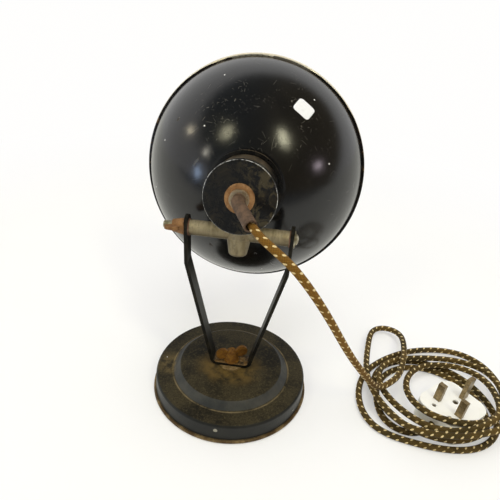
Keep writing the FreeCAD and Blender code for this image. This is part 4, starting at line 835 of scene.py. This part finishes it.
def paper_look():
    """Plain white paper, a little grubby here and there."""
    look = Look("label_paper")
    fibre = look.noise(900, 4, 0.6)
    look.colour = look.tones(fibre, 0.3, 0.75, (0.86,) * 3, (0.8, 0.8, 0.79))
    look.lay(look.patches(0.6, 0.75, 200, 3), 0.15, (0.5, 0.48, 0.45))
    look.put(Roughness=look.scaled(fibre, 0.55, 0.7))
    look.bump(fibre, 0.03, 0.5)
    look.paint(label)


paper_look()

# ------------------------ materials: the lead
FLECK_ROW = 3.75 * MM  # along the lead from one row of flecks to the next
FLECKS_ROUND = 2
FLECK_HALF = (1.15, 0.95)  # half a fleck along the lead and round it, in millimetres
BRAID_RADIUS = 3  # millimetres, nearly
FADED_AND_LIT = (0.30, 0.12)  # none beyond the first and all within the second; metres


def braid_look():
    """Cotton braid: brown strands of both hands, with rows of pale gold flecks."""
    look = Look("cotton_braid", 0.08, Sheen_Weight=0.04, Sheen_Roughness=0.5)
    turn, along, _ = look.xyz(look.around_along)

    def wave(hand):
        phase = look.plus(turn, look.times(along, hand / PICK_PITCH))
        return look.math("COSINE", look.times(phase, 2 * math.pi * PICKS_AROUND))

    def squared(value, scale):
        return look.math("POWER", look.times(value, scale), 2.0)

    right, left = wave(-1), wave(1)
    crown = look.scaled(look.any_of(right, left), 0.0, 1.0)
    over = look.step(look.minus(right, left), -0.15, 0.15)
    tone = look.patches(0.36, 0.66, 26, 4, 0.6, look.node("CombineXYZ", {0: 0.0, 1: along, 2: 0.0}))
    thread = look.noise(2600, 3, 0.7)
    brown = look.mix(tone, (0.055, 0.037, 0.010), (0.130, 0.076, 0.017))
    olive = look.mix(tone, (0.030, 0.023, 0.008), (0.076, 0.048, 0.012))
    look.colour = look.mix(over, olive, brown)
    # The stretch that hangs in the light is coloured a brighter gold: partly faded, partly painted
    # light.
    gold = look.mix(over, (0.13, 0.058, 0.006), (0.31, 0.14, 0.014))
    look.lay(look.step(along, *FADED_AND_LIT), 0.65, gold)
    # Painted shade in the grooves where neither strand crests.
    look.lay(look.step(crown, 0.1, -0.55), 0.8, (0.014, 0.010, 0.006))
    look.lay(look.step(thread, 0.5, 0.75), 0.5, (0.26, 0.17, 0.07))
    # Flecks: one strand end comes up, every row half a place round from the last.
    rows = look.math("DIVIDE", along, FLECK_ROW)
    row = look.math("FLOOR", rows)
    in_row = look.minus(rows, look.plus(row, 0.5))
    place = look.plus(look.times(turn, FLECKS_ROUND), look.times(row, 0.5))
    across = look.minus(look.math("FRACT", place), 0.5)
    slant = look.plus(across, look.times(in_row, 0.25))
    place_width = 2 * math.pi * BRAID_RADIUS / FLECKS_ROUND
    size = look.math("SQRT", look.plus(
        squared(in_row, FLECK_ROW / (FLECK_HALF[0] * MM)),
        squared(slant, place_width / FLECK_HALF[1])))
    fleck = look.step(look.plus(size, look.scaled(thread, -0.35, 0.35)), 1.22, 0.9)
    pale = look.tones(thread, 0.4, 0.65, (0.66, 0.48, 0.19), (0.92, 0.79, 0.47))
    look.lay(fleck, 0.95, pale)
    look.put(Roughness=look.scaled(thread, 0.6, 0.85))
    relief = look.plus(look.times(thread, 0.5), look.times(crown, 0.6))
    look.bump(look.plus(relief, look.times(fleck, 0.5)), 0.2, 0.8)
    look.paint(lead_upper, lead_lower)


braid_look()

# ------------------------ floor, lights and camera
WHITE = (1.0, 0.995, 0.985)
FLOOR = 6.0  # metres from the middle to an edge
PLAIN_FROM = (0.22, 0.75)  # metres from the lamp between which the cloth turns plain white
LEAST_PLAIN = 0.35  # how plain it is beside the lamp
ROOM_FROM = (-0.28, -0.75)  # along Y, where its reflection turns into the dim room
LIT = Vector((0.03, 0.03, 0.17))  # what the lamps point at
CARD_RADIUS = 3.2  # of the dim screen round it


def seen_share(graph, camera_share):
    """How much of plain white a ray sees.

    Camera rays see the given share, glossy and transmission rays all of it."""
    camera, glossy, through = (graph.node("LightPath", out=f"Is {kind} Ray")
                               for kind in ("Camera", "Glossy", "Transmission"))
    return graph.any_of(graph.times(camera, camera_share), graph.any_of(glossy, through))


def stage_piece(name, mesh, material):
    mesh.materials.append(material)
    made = new_object(name, mesh)
    return made


def floor_look():
    """A white cloth, very faintly shaded near the lamp and plain white farther off."""
    look = Look("white_cloth", 0.1, Roughness=0.95)
    look.put(Base_Color=look.mix(look.noise(3.2, 4, 0.5), (0.95, 0.945, 0.93), (0.91, 0.902, 0.88)))
    look.bump(look.noise(5.0, 3, 0.5), 6.0, 0.2)
    far = look.step(look.vector("LENGTH", look.place, out="Value"), *PLAIN_FROM)
    # In reflections the cloth ends on the camera's side, where the room is dim.
    to_room = look.step(look.xyz(look.place)[1], *ROOM_FROM)
    room = look.mix(to_room, (0.94, 0.935, 0.86), (0.24, 0.25, 0.26))
    tone = look.mix(look.node("LightPath", out="Is Camera Ray"), room, WHITE)
    seen = look.node("Emission", {"Color": tone, "Strength": 1.0})
    share = seen_share(look, look.any_of(far, LEAST_PLAIN))
    look.show(look.node("MixShader", {0: share, 1: look.shader.outputs[0], 2: seen}))
    return look.material


mesh = bpy.data.meshes.new("floor")
mesh.from_pydata([(-FLOOR, -FLOOR, 0), (FLOOR, -FLOOR, 0), (FLOOR, FLOOR, 0), (-FLOOR, FLOOR, 0)],
                 [], [(0, 1, 2, 3)])
stage_piece("floor", mesh, floor_look())


def studio_world():
    """White to look at and in reflections, and a softer light on the object."""
    world = bpy.data.worlds.new("studio")
    bpy.context.scene.world = world
    sky = Graph(world)
    to_back = sky.xyz(sky.node("TexCoord"))[1]
    strength = sky.scaled(to_back, 0.40, 0.80, -0.6, 0.6)
    soft = sky.node("Background", {"Color": (0.97, 0.975, 1.0), "Strength": strength})
    plain = sky.node("Background", {"Color": WHITE, "Strength": 1.0})
    sky.show(sky.node("MixShader", {0: seen_share(sky, 1.0), 1: soft, 2: plain}), "World Output")


studio_world()


def dark_card():
    """A dim screen over and behind the camera that only gloss sees: the black paint reflects it.

    It reaches far down on the camera's side, and stays high behind the lamp and on its left."""
    material = bpy.data.materials.new("dark_card")
    graph = Graph(material)
    graph.tree.nodes.remove(graph.tree.nodes["Principled BSDF"])
    x, y, z = graph.xyz(graph.vector("NORMALIZE", graph.node("TexCoord", out="Object")))
    edge = graph.scaled(y, 0.0, 0.88, -0.7, 0.70)
    lean = graph.plus(graph.times(x, 0.34), graph.times(graph.math("ABSOLUTE", x), 0.14))
    dim = graph.step(graph.minus(graph.plus(z, lean), edge), -0.12, 0.16)
    tint = graph.tones(x, -0.5, 0.6, (0.13, 0.155, 0.165), (0.18, 0.145, 0.085))
    screen = graph.node("Emission", {"Color": tint, "Strength": 1.0})
    graph.show(graph.node("MixShader", {0: dim, 1: graph.node("BsdfTransparent"), 2: screen}))
    work = bmesh.new()
    bmesh.ops.create_uvsphere(work, u_segments=64, v_segments=32, radius=CARD_RADIUS)
    made = stage_piece("dark_card", new_mesh("dark_card", work), material)
    made.location = LIT
    for kind in ("camera", "diffuse", "transmission", "volume_scatter", "shadow"):
        setattr(made, "visible_" + kind, False)


dark_card()


def lamp(name, azimuth, elevation, distance, size, power, colour=(1, 1, 1)):
    """A soft oval lamp; azimuth 0 is behind the camera and grows towards +X, angles in degrees."""
    data = bpy.data.lights.new(name, "AREA")
    data.shape = "ELLIPSE"
    data.size, data.size_y = size
    data.energy = power
    data.color = colour
    around, up = math.radians(azimuth), math.radians(elevation)
    out = Vector((math.sin(around) * math.cos(up), -math.cos(around) * math.cos(up), math.sin(up)))
    made = new_object(name, data)
    made.location = LIT + out * distance
    made.rotation_euler = (-out).to_track_quat("-Z", "Y").to_euler()
    return made


lamp("ceiling_left", -45, 47, 2.2, (0.40, 0.52), 4.5, (1.0, 0.94, 0.64))
lamp("ceiling_right", 41, 50, 2.2, (0.30, 0.66), 9, (1.0, 0.96, 0.68))
lamp("far_left", -88, 26, 2.6, (0.14, 0.18), 2.4, (1.0, 0.88, 0.62))
lamp("near_left", -56, 23, 2.4, (0.14, 0.28), 2.2, (1.0, 0.95, 0.8))
lamp("window_left", -58, 4, 2.4, (0.28, 0.46), 3.0, (0.5, 0.68, 1.0))
lamp("side_right", 74, 16, 2.4, (0.42, 0.24), 2.6, (0.95, 0.8, 0.9))
lamp("overhead", 0, 80, 2.4, (1.6, 1.6), 24).visible_glossy = False

# The camera looks down on the back of the lamp from a little to its right.
CAMERA_AT = Vector((34.4, -307.3, 326.8)) * MM
CAMERA_ANGLES = (46.58, 1.80, 10.60, 3.27, 6.39)  # as camera_axes names them, in degrees


def camera_axes(down, pan, tilt, roll, lamp_turn):
    """The camera's right, up and backward directions, from angles in radians."""
    forward = Vector((0, math.cos(down), -math.sin(down)))
    right = Vector((1, 0, 0))
    up = right.cross(forward)
    forward, right = turned(forward, right, pan)
    forward, up = turned(forward, up, tilt)
    right, up = turned(right, up, roll)
    turn = Matrix.Rotation(lamp_turn, 3, "Z")
    return turn @ right, turn @ up, turn @ -forward


camera_data = bpy.data.cameras.new("camera")
camera_data.sensor_width = 36.0
camera_data.lens = 33.84
camera_data.shift_y = 0.09
camera_data.clip_start = 0.01
camera = new_object("camera", camera_data)
axes = camera_axes(*(math.radians(angle) for angle in CAMERA_ANGLES))
camera.matrix_world = Matrix.Translation(CAMERA_AT) @ Matrix(axes).transposed().to_4x4()
bpy.context.scene.camera = camera
bpy.context.scene.view_settings.view_transform = "Standard"
